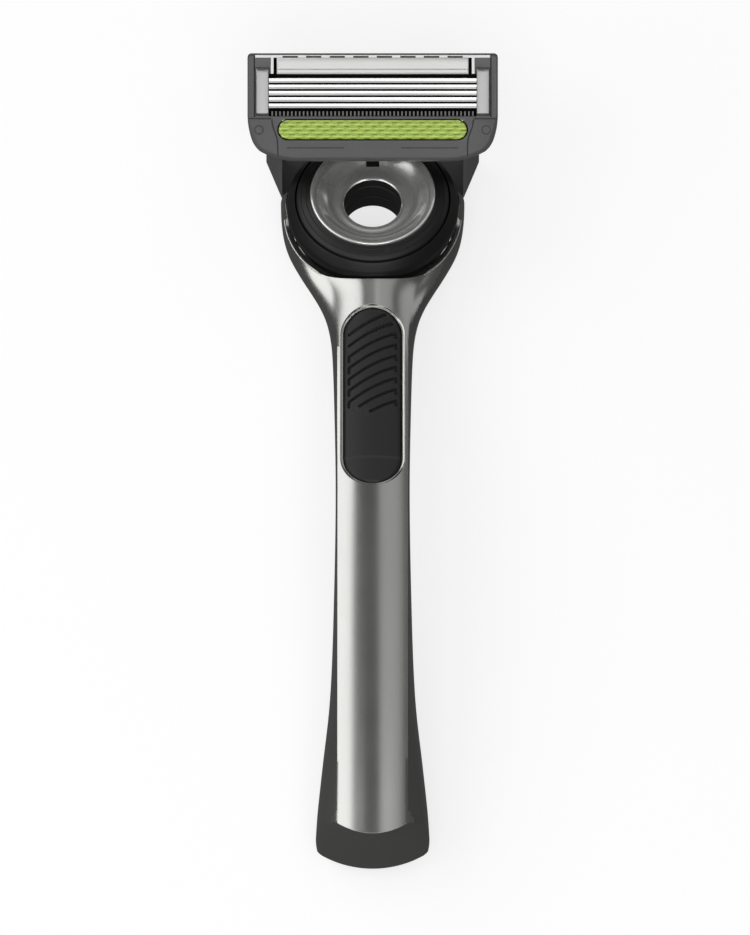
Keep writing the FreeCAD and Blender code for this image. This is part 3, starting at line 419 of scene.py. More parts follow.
# ------------------------------------------------------------------ handle
# y, crease half-width, widest half-width, front z, crown radius, widest z, back half-width, back z
STATIONS = np.array([
    (11.0, 14.2, 15.4, 7.3, 60.0, 3.6, 13.2, -0.1),
    (5.0, 14.35, 15.4, 8.7, 60.0, 4.2, 13.2, -0.1),
    (0.0, 14.3, 15.4, 9.85, 56.0, 4.7, 12.9, -0.05),
    (-4.0, 13.9, 15.1, 10.5, 48.0, 5.2, 11.9, 0.3),
    (-8.0, 12.4, 14.2, 11.1, 36.0, 5.8, 10.0, 1.1),
    (-12.0, 9.7, 12.35, 11.8, 17.0, 6.5, 8.0, 2.2),
    (-16.0, 7.2, 10.15, 12.6, 9.2, 7.2, 6.5, 3.5),
    (-20.0, 6.4, 8.3, 13.4, 8.4, 8.6, 5.4, 4.7),
    (-25.0, 6.05, 7.1, 14.35, 9.0, 10.0, 4.7, 6.0),
    (-31.0, 5.95, 6.65, 15.35, 10.8, 11.3, 4.4, 7.1),
    (-40.0, 5.95, 6.4, 16.45, 12.0, 12.2, 4.2, 8.1),
    (-52.0, 5.9, 6.2, 17.2, 12.0, 12.7, 4.1, 8.4),
    (-65.0, 5.9, 6.3, 17.2, 12.0, 12.2, 4.2, 7.8),
    (-76.0, 5.9, 6.55, 16.75, 12.0, 11.1, 4.4, 6.5),
    (-86.0, 5.9, 6.9, 16.1, 12.0, 9.7, 4.8, 4.6),
    (-93.0, 5.9, 7.4, 15.6, 12.0, 8.6, 5.2, 2.9),
    (-99.0, 5.9, 8.1, 15.1, 12.0, 7.7, 5.8, 1.3),
    (-104.5, 5.9, 8.7, 14.6, 12.0, 7.0, 6.3, 0.3),
    (-109.0, 5.9, 9.15, 14.15, 12.0, 6.5, 6.7, 0.0),
    (-114.0, 5.9, 9.45, 13.65, 12.0, 6.2, 6.9, 0.0),
    (-120.0, 5.9, 9.55, 13.1, 12.0, 6.0, 7.0, 0.0),
])


def at_station(y):
    """Section sizes of the handle at any y, as one row per y."""
    order = np.argsort(STATIONS[:, 0])
    table = STATIONS[order]
    y = np.atleast_1d(y)
    return np.stack([natural(table[:, 0], table[:, k], y) for k in range(1, 8)], axis=1)


def section(y):
    """Closed outline of the handle at y: front face, right side, back, left side."""
    crease, wide, front, crown, mid, under, back = at_station(y)[0]
    back = max(back, 0.02)
    edge = front - crease * crease / (2 * crown)
    rise = 0.35 if back > 0.05 else 0.35 * max(0.0, (back - 0.02) / 0.03)
    xs = np.linspace(-crease, crease, 25)
    face = [(x, front - x * x / (2 * crown)) for x in xs]
    side = curve_through([(crease, edge), (crease + (wide - crease) * 0.72, edge - (edge - mid) * 0.48),
                          (wide, mid), (wide - (wide - under) * 0.3, mid - (mid - back - rise) * 0.68),
                          (under, back + rise)], 22)
    base = curve_through([(under, back + rise), (under * 0.5, back + rise * 0.25), (0, back),
                          (-under * 0.5, back + rise * 0.25), (-under, back + rise)], 15)
    points = face[:-1] + [tuple(p) for p in side[:-1]] + [tuple(p) for p in base[:-1]]
    points += [(-x, z) for x, z in side[::-1][:-1]]
    return [(x, y, z) for x, z in points]


lines = np.concatenate([np.linspace(11, -28, 90), np.linspace(-28.8, -119.5, 120)])
rings = [section(y) for y in lines]
# the front crown takes the bright handle metal; the rest takes the darker copy of it, which is painted shade
marks = [0] * 24 + [1] * (len(rings[0]) - 24)
handle = loft("handle_shell", rings, [mats["handle_front"], mats["handle_flank_painted_shade"]], None,
              None, 28, indices=marks)

# the front's material reaches round to steeper faces towards the cup; the faces left over keep the darker
# flank metal, which is painted shade
NECK_LOW, NECK_HIGH = -27.0, -17.0
for face in handle.data.polygons:
    if face.center.y > NECK_LOW:
        share = min(1.0, (face.center.y - NECK_LOW) / (NECK_HIGH - NECK_LOW))
        if face.normal.z > 0.84 - 0.14 * share:
            face.material_index = 0

# butt, from the front down: level, half-width, lowest y, radius across the end, corner radius
BUTT = [
    (17.4, 5.8, -113.2, 6.5, 5.1),
    (13.4, 6.3, -115.55, 7.0, 5.6),
    (10.0, 8.7, -116.35, 10.5, 4.8),
    (6.5, 9.75, -117.2, 14.0, 3.9),
    (3.2, 9.85, -117.85, 16.5, 3.2),
    (1.0, 9.6, -117.0, 16.0, 3.0),
    (0.0, 9.4, -116.4, 15.5, 3.0),
]


def butt_outline(level):
    """Space outside the butt at one level: the end's shallow arc, two corners and far edges."""
    order = np.array(BUTT)[::-1]
    half, end, across, corner = [np.interp(level, order[:, 0], order[:, k]) for k in range(1, 5)]
    drop = math.sqrt((across - corner) ** 2 - (half - corner) ** 2)
    middle = end + across
    turn = math.atan2(-drop, half - corner)
    points = []
    for k in range(17):
        angle = turn * k / 16
        points.append((half - corner + corner * math.cos(angle), middle - drop + corner * math.sin(angle)))
    for k in range(1, 20):
        angle = turn + (-math.pi - 2 * turn) * k / 20
        points.append((across * math.cos(angle), middle + across * math.sin(angle)))
    mirrored = [(-x, y) for x, y in points[:17]][::-1]
    points = [(half, -100.0)] + points + mirrored + [(-half, -100.0)]
    points += [(-25.0, -100.0), (-25.0, -130.0), (25.0, -130.0), (25.0, -100.0)]
    return [(x, y, level) for x, y in points]


levels = [17.4, 13.4, 11.7, 10.0, 8.2, 6.5, 4.8, 3.2, 2.1, 1.0, 0.5, 0.0]
outside = [butt_outline(level) for level in levels]
outside.append([(x, y, -1.0) for x, y, _ in outside[-1]])
carve(handle, loft("butt_tool", outside, mats["handle_flank_painted_shade"], None))

cup_place = Matrix.Translation(Vector((0, 0, RIM.z))) @ Matrix.Rotation(disc_turn, 4, "X")


def round_outline(radius, steps=160):
    """Circle about the middle, as (x, y) points."""
    return [(radius * math.cos(2 * math.pi * k / steps), radius * math.sin(2 * math.pi * k / steps))
            for k in range(steps)]


CUP_BORE, CUP_LIP, LIP_FLOOR, LIP_DEEP = 13.9, 14.75, -5.4, -6.7
carve(handle, prism("bore_tool", round_outline(CUP_BORE), -25, 20, cup_place))
carve(handle, prism("lip_tool", round_outline(CUP_LIP), LIP_FLOOR, 15, cup_place))
half_turn = [(CUP_LIP * math.cos(math.radians(a)), CUP_LIP * math.sin(math.radians(a)))
             for a in np.linspace(-175.3, -4.7, 110)]
carve(handle, prism("deep_tool", half_turn, LIP_DEEP, LIP_FLOOR + 0.4, cup_place))
carve(handle, prism("arm_tool", [(-25, 3.6), (25, 3.6), (25, 40), (-25, 40)], -40, 20, cup_place,
                    mats["handle_flank_painted_shade"]))

# thumb grip's seat
GRIP_HIGH, GRIP_LOW, GRIP_HALF = -20.8, -54.0, 4.95


def grip_half(y, gap=0.0):
    """Half-width of the grip's oval at y, with its edge moved in by the gap."""
    half = GRIP_HALF - gap
    high, low = GRIP_HIGH - GRIP_HALF, GRIP_LOW + GRIP_HALF
    over = np.where(y > high, y - high, np.where(y < low, low - y, 0.0))
    return np.sqrt(np.maximum(half * half - over * over, 0.0))


def front_at(x, y):
    """Height of the handle's front at each (x, y)."""
    rows = at_station(y)
    return rows[:, 2] - np.asarray(x) ** 2 / (2 * rows[:, 3])


def front_sheet(ys, half_at, drop, columns=25, depth=3.0, relief=None, top=None, sink=None):
    """Plate that follows the handle's front between two y ends; drop is how far it lies below."""
    verts, faces = [], []
    count = len(ys)
    for low in (False, True):
        for y in ys:
            half = float(half_at(np.array([y]))[0])
            for k in range(columns):
                x = half * (-math.cos(math.pi * k / (columns - 1)) * 0.35
                            + (2 * k / (columns - 1) - 1) * 0.65)
                verts.append([x, y, 0.0])
    verts = np.array(verts)
    half_count = count * columns
    z = front_at(verts[:, 0], verts[:, 1]) - drop
    if relief is not None:
        z[:half_count] += relief(verts[:half_count, 0], verts[:half_count, 1])
    z[half_count:] -= depth if sink is None else sink(verts[half_count:, 0], verts[half_count:, 1])
    if top is not None:
        z[:half_count] += top
    verts[:, 2] = z
    for r in range(count - 1):
        for c in range(columns - 1):
            a = r * columns + c
            faces.append((a, a + 1, a + columns + 1, a + columns))
            faces.append((half_count + a, half_count + a + columns, half_count + a + columns + 1,
                          half_count + a + 1))
    for r in range(count - 1):
        for a in (r * columns, r * columns + columns - 1):
            faces.append((a, a + columns, half_count + a + columns, half_count + a))
    for r in (0, count - 1):
        for c in range(columns - 1):
            a = r * columns + c
            faces.append((a, a + 1, half_count + a + 1, half_count + a))
    return verts, faces


def oval_lines(high, low, half, dense):
    """y values that crowd at the two round ends."""
    turn = np.linspace(0.02, math.pi / 2, 26)
    first = high - half + half * np.cos(turn)
    middle = np.linspace(high - half, low + half, dense)[1:-1]
    return np.concatenate([first, middle, (low + half - half * np.cos(turn))[::-1]])


seat_lines = oval_lines(GRIP_HIGH, GRIP_LOW, GRIP_HALF, 60)
verts, faces = front_sheet(seat_lines, grip_half, 1.5, 15, 0.0, top=6.0)
carve(handle, new_piece("grip_seat_tool", verts, faces, mats["handle_flank_painted_shade"], None))
SEAT_EDGE = 0.5


def seat_edge(x, y):
    """Depth of the bevel round the seat: nothing at its outer line, most at the seat."""
    inside = grip_half(y, -SEAT_EDGE) - np.abs(x)
    ends = np.minimum(GRIP_HIGH + SEAT_EDGE - y, y - GRIP_LOW + SEAT_EDGE)
    return 0.5 * np.clip(np.minimum(inside, ends * 2) / SEAT_EDGE, 0, 1) ** 0.7 - 0.02


edge_lines = oval_lines(GRIP_HIGH + SEAT_EDGE, GRIP_LOW - SEAT_EDGE, GRIP_HALF + SEAT_EDGE, 60)
verts, faces = front_sheet(edge_lines, lambda y: grip_half(y, -SEAT_EDGE), 0.0, 41, top=4.0, sink=seat_edge)
carve(handle, new_piece("grip_edge_tool", verts, faces, mats["handle_front"], None))

# painted highlight along the cup's sides: a thin tube in a near-white copy of the handle metal stands in for
# the highlight on the lip's edge
EDGE_RADIUS, EDGE_THIN = 14.86, 0.10
for tag, first, last in (("left", -176, -126), ("right", -54, -4)):
    rings = []
    for angle in np.linspace(math.radians(first), math.radians(last), 50):
        x, across = EDGE_RADIUS * math.cos(angle), EDGE_RADIUS * math.sin(angle)
        y = across
        for _ in range(12):
            _, spot, _, _ = handle.ray_cast(Vector((x, y, 30)) * MM, Vector((0, 0, -1)))
            z = spot.z / MM
            depth = (z - RIM.z / MM - across * math.sin(disc_turn)) / math.cos(disc_turn)
            y = across * math.cos(disc_turn) - depth * math.sin(disc_turn)
        swell = [1 + EDGE_THIN / EDGE_RADIUS * math.cos(math.pi * k / 4) for k in range(8)]
        rings.append([(x * swell[k], y * swell[k], z + EDGE_THIN * math.sin(math.pi * k / 4))
                      for k in range(8)])
    loft("cup_lip_highlight_" + tag, rings, mats["lip"], "handle", HANDLE, 60)

# opening for the rear cover
SEAT_HALF, COVER_HALF = 4.4, 4.33
cover_lines = np.linspace(-26.0, -116.2, 80)


def back_curve(x, under, back):
    """How far the handle's back rises from its middle line at x."""
    rise = 0.35 * min(1.0, max(0.0, back / 0.3))
    if abs(x) < under * 0.5:
        return rise * 0.25 * (2 * x / under) ** 2
    return rise * (0.25 + 0.75 * (abs(x) / under * 2 - 1))


def cover_block(half, low, rise, ys, columns=13, relief=None):
    """Block along the handle's back: its underside is at low, or follows the back where low is None."""
    rows = at_station(ys)
    verts, faces = [], []
    for r, y in enumerate(ys):
        back = max(rows[r][6], 0.02)
        top = back + rise
        for k in range(columns):
            x = half * (2 * k / (columns - 1) - 1)
            z = low
            if low is None:
                z = back + back_curve(x, rows[r][5], back) + relief(x, y)
            verts.append((x, y, z))
        for k in range(columns):
            x = half * (2 * k / (columns - 1) - 1)
            verts.append((x, y, top))
    stride = columns * 2
    for r in range(len(ys) - 1):
        for k in range(columns - 1):
            a = r * stride + k
            faces.append((a, a + 1, a + stride + 1, a + stride))
            a += columns
            faces.append((a, a + stride, a + stride + 1, a + 1))
        for k in (0, columns - 1):
            a = r * stride + k
            faces.append((a, a + stride, a + stride + columns, a + columns))
    for r in (0, len(ys) - 1):
        for k in range(columns - 1):
            a = r * stride + k
            faces.append((a, a + 1, a + columns + 1, a + columns))
    return verts, faces


verts, faces = cover_block(SEAT_HALF, -3.0, 2.3, cover_lines)
carve(handle, new_piece("cover_seat_tool", verts, faces, mats["handle_flank_painted_shade"], None))
settle(handle, HANDLE, 28)
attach(handle, "handle")
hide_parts("handle_body")

# thumb grip with slanted grooves
GROOVES = []
for number in range(9):
    right = -29.9 + (4 - number) * 2.16
    points = []
    for x in np.linspace(-3.95, 3.95, 14):
        y = right - 0.58 * (3.95 - x) + 0.3 * (1 - (x / 3.95) ** 2)
        points.append((x, y))
    if 1 < number < 7:
        points.insert(0, (-3.95, points[0][1] - 0.9))
    if number > 0:
        points.append((3.95, points[-1][1] - 0.8))
    if number in (7, 8):
        points = [p for p in points if p[0] > (-2.6 if number == 7 else -0.6)]
    room = [p for p in points if abs(p[0]) < float(grip_half(np.array([p[1]]))[0]) - 0.85]
    GROOVES.append(np.array(room))


def groove_relief(x, y):
    """Ditches along the grooves, a slight swell beside each, and the pad's rounded edge."""
    nearest = np.full(len(x), 9.0)
    for line in GROOVES:
        if len(line) < 2:
            continue
        for (ax, ay), (bx, by) in zip(line[:-1], line[1:]):
            dx, dy = bx - ax, by - ay
            t = np.clip(((x - ax) * dx + (y - ay) * dy) / (dx * dx + dy * dy), 0, 1)
            nearest = np.minimum(nearest, np.hypot(x - ax - t * dx, y - ay - t * dy))
    ditch = -0.50 * np.clip((0.24 - nearest) / 0.12, 0, 1)
    swell = 0.05 * np.clip(1 - np.abs(nearest - 0.62) / 0.4, 0, 1)
    inside = grip_half(y, 0.12) - np.abs(x)
    edge = np.minimum(inside, np.minimum(GRIP_HIGH - y, y - GRIP_LOW))
    fall = -0.4 * np.clip(1 - edge / 0.7, 0, 1) ** 2
    return ditch + swell + fall


pad_lines = np.concatenate([oval_lines(GRIP_HIGH - 0.12, GRIP_LOW + 0.12, GRIP_HALF - 0.12, 10)[:26],
                            np.linspace(GRIP_HIGH - GRIP_HALF, -44, 170)[1:],
                            np.linspace(-44, GRIP_LOW + GRIP_HALF, 60)[1:],
                            oval_lines(GRIP_HIGH - 0.12, GRIP_LOW + 0.12, GRIP_HALF - 0.12, 10)[-26:]])
verts, faces = front_sheet(pad_lines, lambda y: grip_half(y, 0.12), 0.42, 97, 1.03,
                           relief=groove_relief)
grip = new_piece("thumb_pad", verts, faces, mats["rubber"], "handle", HANDLE, 40)
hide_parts("thumb_grip")


def rib_relief(x, y):
    """Ribs across the back cover, fading out towards its ends and sides."""
    if y > -34 or y < -100:
        return 0.05 if (y > -27 or y < -115.5) else 0.0
    wave = 0.5 - 0.5 * math.cos(2 * math.pi * (y - 0.25 * abs(x) * 1.2) / 2.2)
    end = min(1.0, (-34 - y) / 3, (y + 100) / 3)
    side = min(1.0, max(0.0, (3.9 - abs(x)) / 0.5))
    return 0.42 * (1 - wave ** 2.5) * end * side


cover_ys = np.concatenate([np.linspace(-26.1, -34, 16), np.linspace(-34.2, -100, 340),
                           np.linspace(-100.5, -116.1, 24)])
verts, faces = cover_block(COVER_HALF, None, 2.2, cover_ys, 25, rib_relief)
cover = new_piece("back_cover", verts, faces, mats["rubber"], "handle", HANDLE, 40)
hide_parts("rear_cover")

# ------------------------------------------------------------------ disc


def arc(cx, cy, radius, start, end, steps):
    """Arc about (cx, cy) between two angles in degrees, as (x, y) points."""
    return [(cx + radius * math.cos(math.radians(start + (end - start) * k / steps)),
             cy + radius * math.sin(math.radians(start + (end - start) * k / steps)))
            for k in range(steps + 1)]


dish = curve_through([(10.1, -0.05), (9.6, -0.30), (9.0, -0.85), (8.2, -1.62), (7.3, -2.28), (6.5, -2.62),
                      (5.8, -2.72), (5.2, -2.82), (4.82, -3.02)], 60)
profile = [(10.5, -3.9), (10.5, -0.35)] + arc(10.25, -0.27, 0.25, 0, 100, 8) + [tuple(p) for p in dish]
profile += [(5.05, -3.3), (5.05, -3.9)]
bezel = lathe("disc_bezel", profile, mats["bezel"], "disc", DISC, 200, 40)
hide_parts("front_bezel")

profile = [(5.05, -3.3), (5.0, -3.1), (4.9, -3.03), (4.84, -3.08), (4.82, -3.2), (4.82, -4.4), (4.95, -4.5),
           (4.95, -4.9), (4.82, -5.0), (4.82, -7.4), (4.92, -7.5), (4.92, -7.9), (4.82, -8.0), (4.82, -10.45),
           (4.95, -10.6), (5.8, -10.6), (5.8, -3.9), (5.05, -3.9)]
sleeve = lathe("disc_sleeve", profile, mats["sleeve"], "disc", DISC, 160, 30)
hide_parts("hole_sleeve")

centre = -6.5
ball = [(math.sqrt(13.68 ** 2 - h * h), centre + h) for h in np.linspace(4.15, 4.82, 8)]
profile = [(5.8, -8.8), (11.3, -8.8), (11.4, -8.7), (11.4, centre + 3.5)] + ball
profile += [(12.74, -1.55), (12.66, -1.47), (12.1, -1.12), (12.03, -1.14), (11.97, -1.05), (11.25, -0.72),
            (11.18, -0.75), (11.11, -0.66), (10.62, -0.48), (10.5, -0.55), (10.5, -3.9), (5.8, -3.9)]
core = lathe("disc_body", profile, mats["black"], "disc", DISC, 200, 25)
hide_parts("disc_core")

inner = [(math.sqrt(13.9 ** 2 - h * h), centre + h) for h in np.linspace(4.70, 1.9, 14)]
outer = curve_through([(14.4, centre + 1.8), (14.4, centre + 2.7), (14.3, centre + 3.15),
                       (13.95, centre + 3.72), (13.45, centre + 4.38), (13.14, centre + 4.74)], 24)
profile = [(12.0, centre - 1.4), (13.2, centre - 1.4), (13.3, centre - 1.3), (13.3, centre + 1.0)]
profile += [tuple(p) for p in outer] + inner + [(12.0, centre + 1.9)]
ring = lathe("flex_ring", profile, mats["black"], "ring", DISC, 200, 25)
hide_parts("gimbal_ring")

profile = [(5.8, -10.1), (5.8, -10.6), (5.95, -10.7), (6.75, -10.7), (7.0, -10.55), (7.3, -10.1)]
rear = lathe("disc_rear_ring", profile, mats["bezel"], "disc", DISC, 160, 30)
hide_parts("rear_bezel")

# ------------------------------------------------------------------ green bar


WINDOW_MID = 5.4
BUMP_LONG, BUMP_ROW, BUMP_SLANT = 2.3, 0.66, 0.9


def bump_place(x, v):
    """Place of a spot across and along its bump, both from 0 to 1; each row is shifted by half a bump."""
    row = (v + 1.65) / BUMP_ROW
    index = np.floor(row)
    across = row - index
    along = (x + (index % 2) * BUMP_LONG / 2 + (across - 0.5) * BUMP_SLANT) / BUMP_LONG
    return across, along - np.floor(along)


def bar_relief(x, v):
    """Rows of slanted lens-shaped bumps."""
    across, along = bump_place(x, v)
    lens = np.clip(1 - ((across - 0.5) / 0.5) ** 2, 0, 1) * np.clip(1 - ((along - 0.5) / 0.5) ** 2, 0, 1)
    return 0.26 * np.sqrt(lens) - 0.22


def bar_painted_light(x, v):
    """Painted light on the bar at a spot: 0 for painted shade in the hollow under each bump, 2 for a painted
    highlight on its upper edge, else 1.
    """
    across, along = bump_place(x, v)
    hollow_shade = np.exp(-((across - 0.27) / 0.22) ** 2 - ((along - 0.5) / 0.27) ** 2)
    crest_highlight = np.exp(-((across - 0.76) / 0.2) ** 2) * (0.7 + 0.3 * np.cos(2 * np.pi * (along - 0.6)))
    return np.where(hollow_shade > 0.5, 0, np.where(crest_highlight > 0.42, 2, 1))


def bar_piece():
    """The green bar: a fine sheet of bumps with its sides and back, in three copies of its green: painted
    shade, plain and painted highlight.
    """
    half, radius, top, bottom = 15.75, 1.6, 0.2, -1.0
    vs = -radius * np.cos(np.linspace(0.05, math.pi - 0.05, 49))
    columns = 560
    verts = []
    painted_tones = []
    for v in vs:
        reach = half - radius + math.sqrt(max(radius * radius - v * v, 0))
        xs = np.linspace(-reach, reach, columns)
        inside = np.minimum(reach - np.abs(xs), radius - abs(v))
        edge = np.clip(1 - inside / 0.3, 0, 1) ** 2 * 0.28
        z = top + bar_relief(xs, np.full(columns, v)) * np.clip(inside / 0.25, 0, 1) - edge
        verts += [(x, v + WINDOW_MID, h) for x, h in zip(xs, z)]
        painted_tones.append(bar_painted_light(xs, np.full(columns, v)))
    top_count = len(verts)
    rim = list(range(columns)) + [r * columns + columns - 1 for r in range(1, len(vs))]
    rim += [(len(vs) - 1) * columns + k for k in range(columns - 2, -1, -1)]
    rim += [r * columns for r in range(len(vs) - 2, 0, -1)]
    faces = []
    marks = []
    for r in range(len(vs) - 1):
        for c in range(columns - 1):
            a = r * columns + c
            faces.append((a, a + 1, a + columns + 1, a + columns))
            marks.append(int(painted_tones[r][c]))
    verts += [(verts[k][0], verts[k][1], bottom) for k in rim]
    for i in range(len(rim)):
        j = (i + 1) % len(rim)
        faces.append((rim[i], top_count + i, top_count + j, rim[j]))
    faces.append(tuple(top_count + i for i in range(len(rim))))
    marks += [0] * (len(faces) - len(marks))
    # faces in the hollows take the darker green as painted shade, faces on the upper edges the lighter green
    # as a painted highlight
    lit_and_shaded_greens = [mats["green_painted_shade"], mats["green"], mats["green_painted_highlight"]]
    return new_piece("skin_bar", verts, faces, lit_and_shaded_greens, "carrier", HEAD, 60, marks)


bar = bar_piece()
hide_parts("exfoliating_bar")

# ------------------------------------------------------------------ blades
BLADE_FIRST, BLADE_PITCH, BLADE_REACH, BLADE_HALF, BLADE_DEEP = 9.06, 1.06, 0.80, 17.45, -2.4
for number in range(5):
    at = BLADE_FIRST + BLADE_PITCH * number
    shape = [(at, 0.0), (at + 0.12, -0.005), (at + 0.36, -0.02), (at + 0.69, -0.02), (at + 0.76, -0.05),
             (at + 0.80, -0.12), (at + BLADE_REACH, -0.30), (at + BLADE_REACH, BLADE_DEEP),
             (at + 0.66, BLADE_DEEP), (at + 0.66, -0.36), (at + 0.60, -0.24), (at + 0.50, -0.20),
             (at + 0.12, -0.12)]
    rings = [[(x, v, c) for v, c in shape] for x in (-BLADE_HALF, BLADE_HALF)]
    name = "blade_%d" % (number + 1)
    # the strip along the cutting edge and the underside beside it take the darker blade steel, which is
    # painted shade
    piece = loft("cutting_" + name, rings, [mats["blade"], mats["bevel"]], name, HEAD, 20,
                 indices=[1, 1] + [0] * 10 + [1])
    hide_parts(name)

# ------------------------------------------------------------------ strip, rail and fins
STRIP_HALF, STRIP_END = 16.08, 0.13
strip_section = [(14.74, -1.15), (14.74, -0.08), (14.80, 0.03), (14.95, 0.11), (15.20, 0.15), (15.46, 0.14),
                 (15.50, -0.06), (15.60, -0.06), (15.64, 0.14), (16.6, 0.15), (17.1, 0.13), (17.36, 0.07),
                 (17.48, -0.06), (17.48, -1.15)]
rings = [[(x, v, c if c < -1 else c - sink) for v, c in strip_section]
         for x, sink in ((-STRIP_HALF, 0.12), (STRIP_END - STRIP_HALF, 0.0),
                         (STRIP_HALF - STRIP_END, 0.0), (STRIP_HALF, 0.12))]
strip = loft("glide_strip", rings, mats["strip"], "cartridge", HEAD, 35)
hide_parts("lubricating_strip")

RAIL_END, RAIL_LOW, RAIL_HIGH, ARM_IN, ARM_OUT, ARM_LOW = 19.7, 17.5, 17.93, 16.62, 17.08, 14.8
half_rail = [(ARM_IN, RAIL_LOW), (ARM_IN, ARM_LOW), (ARM_OUT, ARM_LOW), (ARM_OUT, RAIL_LOW),
             (RAIL_END, RAIL_LOW), (RAIL_END, RAIL_HIGH)]
rail_outline = half_rail + [(-x, y) for x, y in half_rail[::-1]]
rail = loft("top_rail", [[(x, v, c) for x, v in rail_outline] for c in (-0.58, 0.03)], mats["rail"],
            "cartridge", HEAD)
RAIL_SLOTS, RAIL_SLOT_PITCH, RAIL_SLOT_LONG = 8, 3.95, 2.55
slots = []
for number in range(RAIL_SLOTS):
    middle = (number - (RAIL_SLOTS - 1) / 2) * RAIL_SLOT_PITCH
    slots.append((middle - RAIL_SLOT_LONG / 2, middle + RAIL_SLOT_LONG / 2, 17.45, 17.80, -1.0, 1.0))
carve(rail, boxes("rail_slots", slots, HEAD))
smooth_by_angle(rail, 30)

FIN_HALF, FIN_THICK, FIN_PITCH = 17.0, 0.30, 0.66
verts, faces, marks = [], [], []
base = [(-FIN_HALF, -1.2), (FIN_HALF, -1.2), (FIN_HALF, -0.62), (-FIN_HALF, -0.62)]
sections = [(base, 1)]
for number in range(int((2 * FIN_HALF - FIN_THICK) / FIN_PITCH) + 1):
    x = -FIN_HALF + FIN_THICK / 2 + number * FIN_PITCH
    sections.append(([(x - 0.15, -0.60), (x + 0.15, -0.60), (x + 0.15, -0.18), (x + 0.09, -0.06),
                      (x - 0.09, -0.06), (x - 0.15, -0.18)], 0))
for outline, mark in sections:
    first = len(verts)
    count = len(outline)
    verts += [(x, v, c) for v in (7.72, 8.48) for x, c in outline]
    faces.append(tuple(first + k for k in range(count)))
    faces.append(tuple(first + count + k for k in range(count)))
    for k in range(count):
        after = (k + 1) % count
        faces.append((first + k, first + after, first + count + after, first + count + k))
    marks += [mark] * (count + 2)
comb = new_piece("guard_comb", verts, faces, [mats["fin"], mats["bed"]], "cartridge", HEAD,
                 30, marks)
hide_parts("guard_fins")

# ------------------------------------------------------------------ clips
FRAME_BACK = -4.4
CLIP_IN, CLIP_OUT, CLIP_LOW, CLIP_HIGH = 17.4, 19.6, 7.9, 15.7
LEG_IN, LEG_OUT, LEG_THICK, LEG_TOP, FOOT_LONG, FOOT_BACK = 17.9, 19.1, 0.3, -0.1, 1.0, -4.7
ends = [(0.02, 0.0), (0.05, 0.13), (0.15, 0.22), (0.34, 0.27), (0.7, 0.29)]
profile = [(CLIP_LOW + v, c) for v, c in ends] + [(CLIP_HIGH - v, c) for v, c in ends[::-1]]
for side, sign in (("left", -1), ("right", 1)):
    rings = []
    for x, flat in ((CLIP_IN, 0.45), (CLIP_IN + 0.07, 0.85), (CLIP_IN + 0.22, 1.0),
                    (CLIP_OUT - 0.22, 1.0), (CLIP_OUT - 0.07, 0.85), (CLIP_OUT, 0.45)):
        rings.append([(sign * x, v, c * flat - 0.25 * (c == 0.0)) for v, c in profile])
    plate = loft("clip_face_" + side, rings, mats["clip"], "cartridge", HEAD, 40)
    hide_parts("clip_" + side)
    near, far = sign * LEG_IN, sign * LEG_OUT
    for tag, leg, foot in (("low", CLIP_LOW, CLIP_LOW),
                           ("top", CLIP_HIGH - LEG_THICK, CLIP_HIGH - FOOT_LONG)):
        block = [(near, leg), (far, leg), (far, leg + LEG_THICK), (near, leg + LEG_THICK)]
        loft("clip_leg_%s_%s" % (side, tag), [[(x, v, c) for x, v in block] for c in (FRAME_BACK, LEG_TOP)],
             mats["clip"], "cartridge", HEAD, 30)
        block = rounded_outline([(near, foot, 0.1), (far, foot, 0.1),
                                 (far, foot + FOOT_LONG, 0.1), (near, foot + FOOT_LONG, 0.1)], 4)
        loft("clip_foot_%s_%s" % (side, tag),
             [[(x, v, c) for x, v in block] for c in (FOOT_BACK, FRAME_BACK)],
             mats["clip"], "cartridge", HEAD, 30)

# ------------------------------------------------------------------ cartridge frame
half_outline = bulge((12.5, 0.0), (18.9, 1.7), 13.0)[:-1] + bulge((18.9, 1.7), (20.3, 3.7), 4.6)[:-1]
half_outline += bulge((20.3, 3.7), (21.0, 7.7), 13.0) + [(21.0, 12.0)]
half_outline += bulge((21.0, 17.35), (20.35, 18.0), 0.65, 6)
frame_outline = half_outline + [(-x, y) for x, y in half_outline[::-1]]


def rim_share(spot):
    """How much of the rounding an edge gets: all along the bottom, a third along the posts."""
    return min(1.0, max(0.3, 1.0 - (spot[1] - 4.5) / 4.5))


rings = []
for c, back in ((FRAME_BACK, 0.15), (FRAME_BACK + 0.15, 0.0), (-1.1, 0.0), (-0.75, 0.06),
                (-0.42, 0.20), (-0.18, 0.42), (-0.05, 0.62), (0.0, 0.85)):
    rings.append([(x, v, c) for x, v in inset(frame_outline, lambda spot: back * rim_share(spot))])
shell = loft("cartridge_shell", rings, mats["grey"], None, None, 30)
# Cuts go from each depth out past the face.
ABOVE = 1.0
deep_cuts = [(-17.4, 17.4, 7.65, 14.78, -3.7, ABOVE), (-16.6, 16.6, 14.7, 17.5, -3.7, ABOVE)]
for number, cut in enumerate(deep_cuts):
    carve(shell, boxes("pocket_tool_%d" % number, [cut], None))
carve(shell, prism("window_tool", oval(16.0, WINDOW_MID, 1.8), -6, ABOVE))
under = [(-1.0, -2.4), (3.0, -2.4), (3.6, -5.4), (-1.0, -5.4)]
carve(shell, loft("under_tool", [[(x, v, c) for v, c in under] for x in (-30, 30)], mats["grey"], None))
carve(shell, boxes("rail_seat", [(-19.74, 19.74, 17.46, 19.0, -0.6, ABOVE)], None))
slots = []
for sign in (-1, 1):
    slots.append(side_box(sign, 16.55, 17.1, 14.76, 17.6, -0.6, ABOVE))
    slots.append(side_box(sign, 17.3, 19.74, 7.76, 15.86, -0.3, ABOVE))
carve(shell, boxes("seat_tool", slots, None))
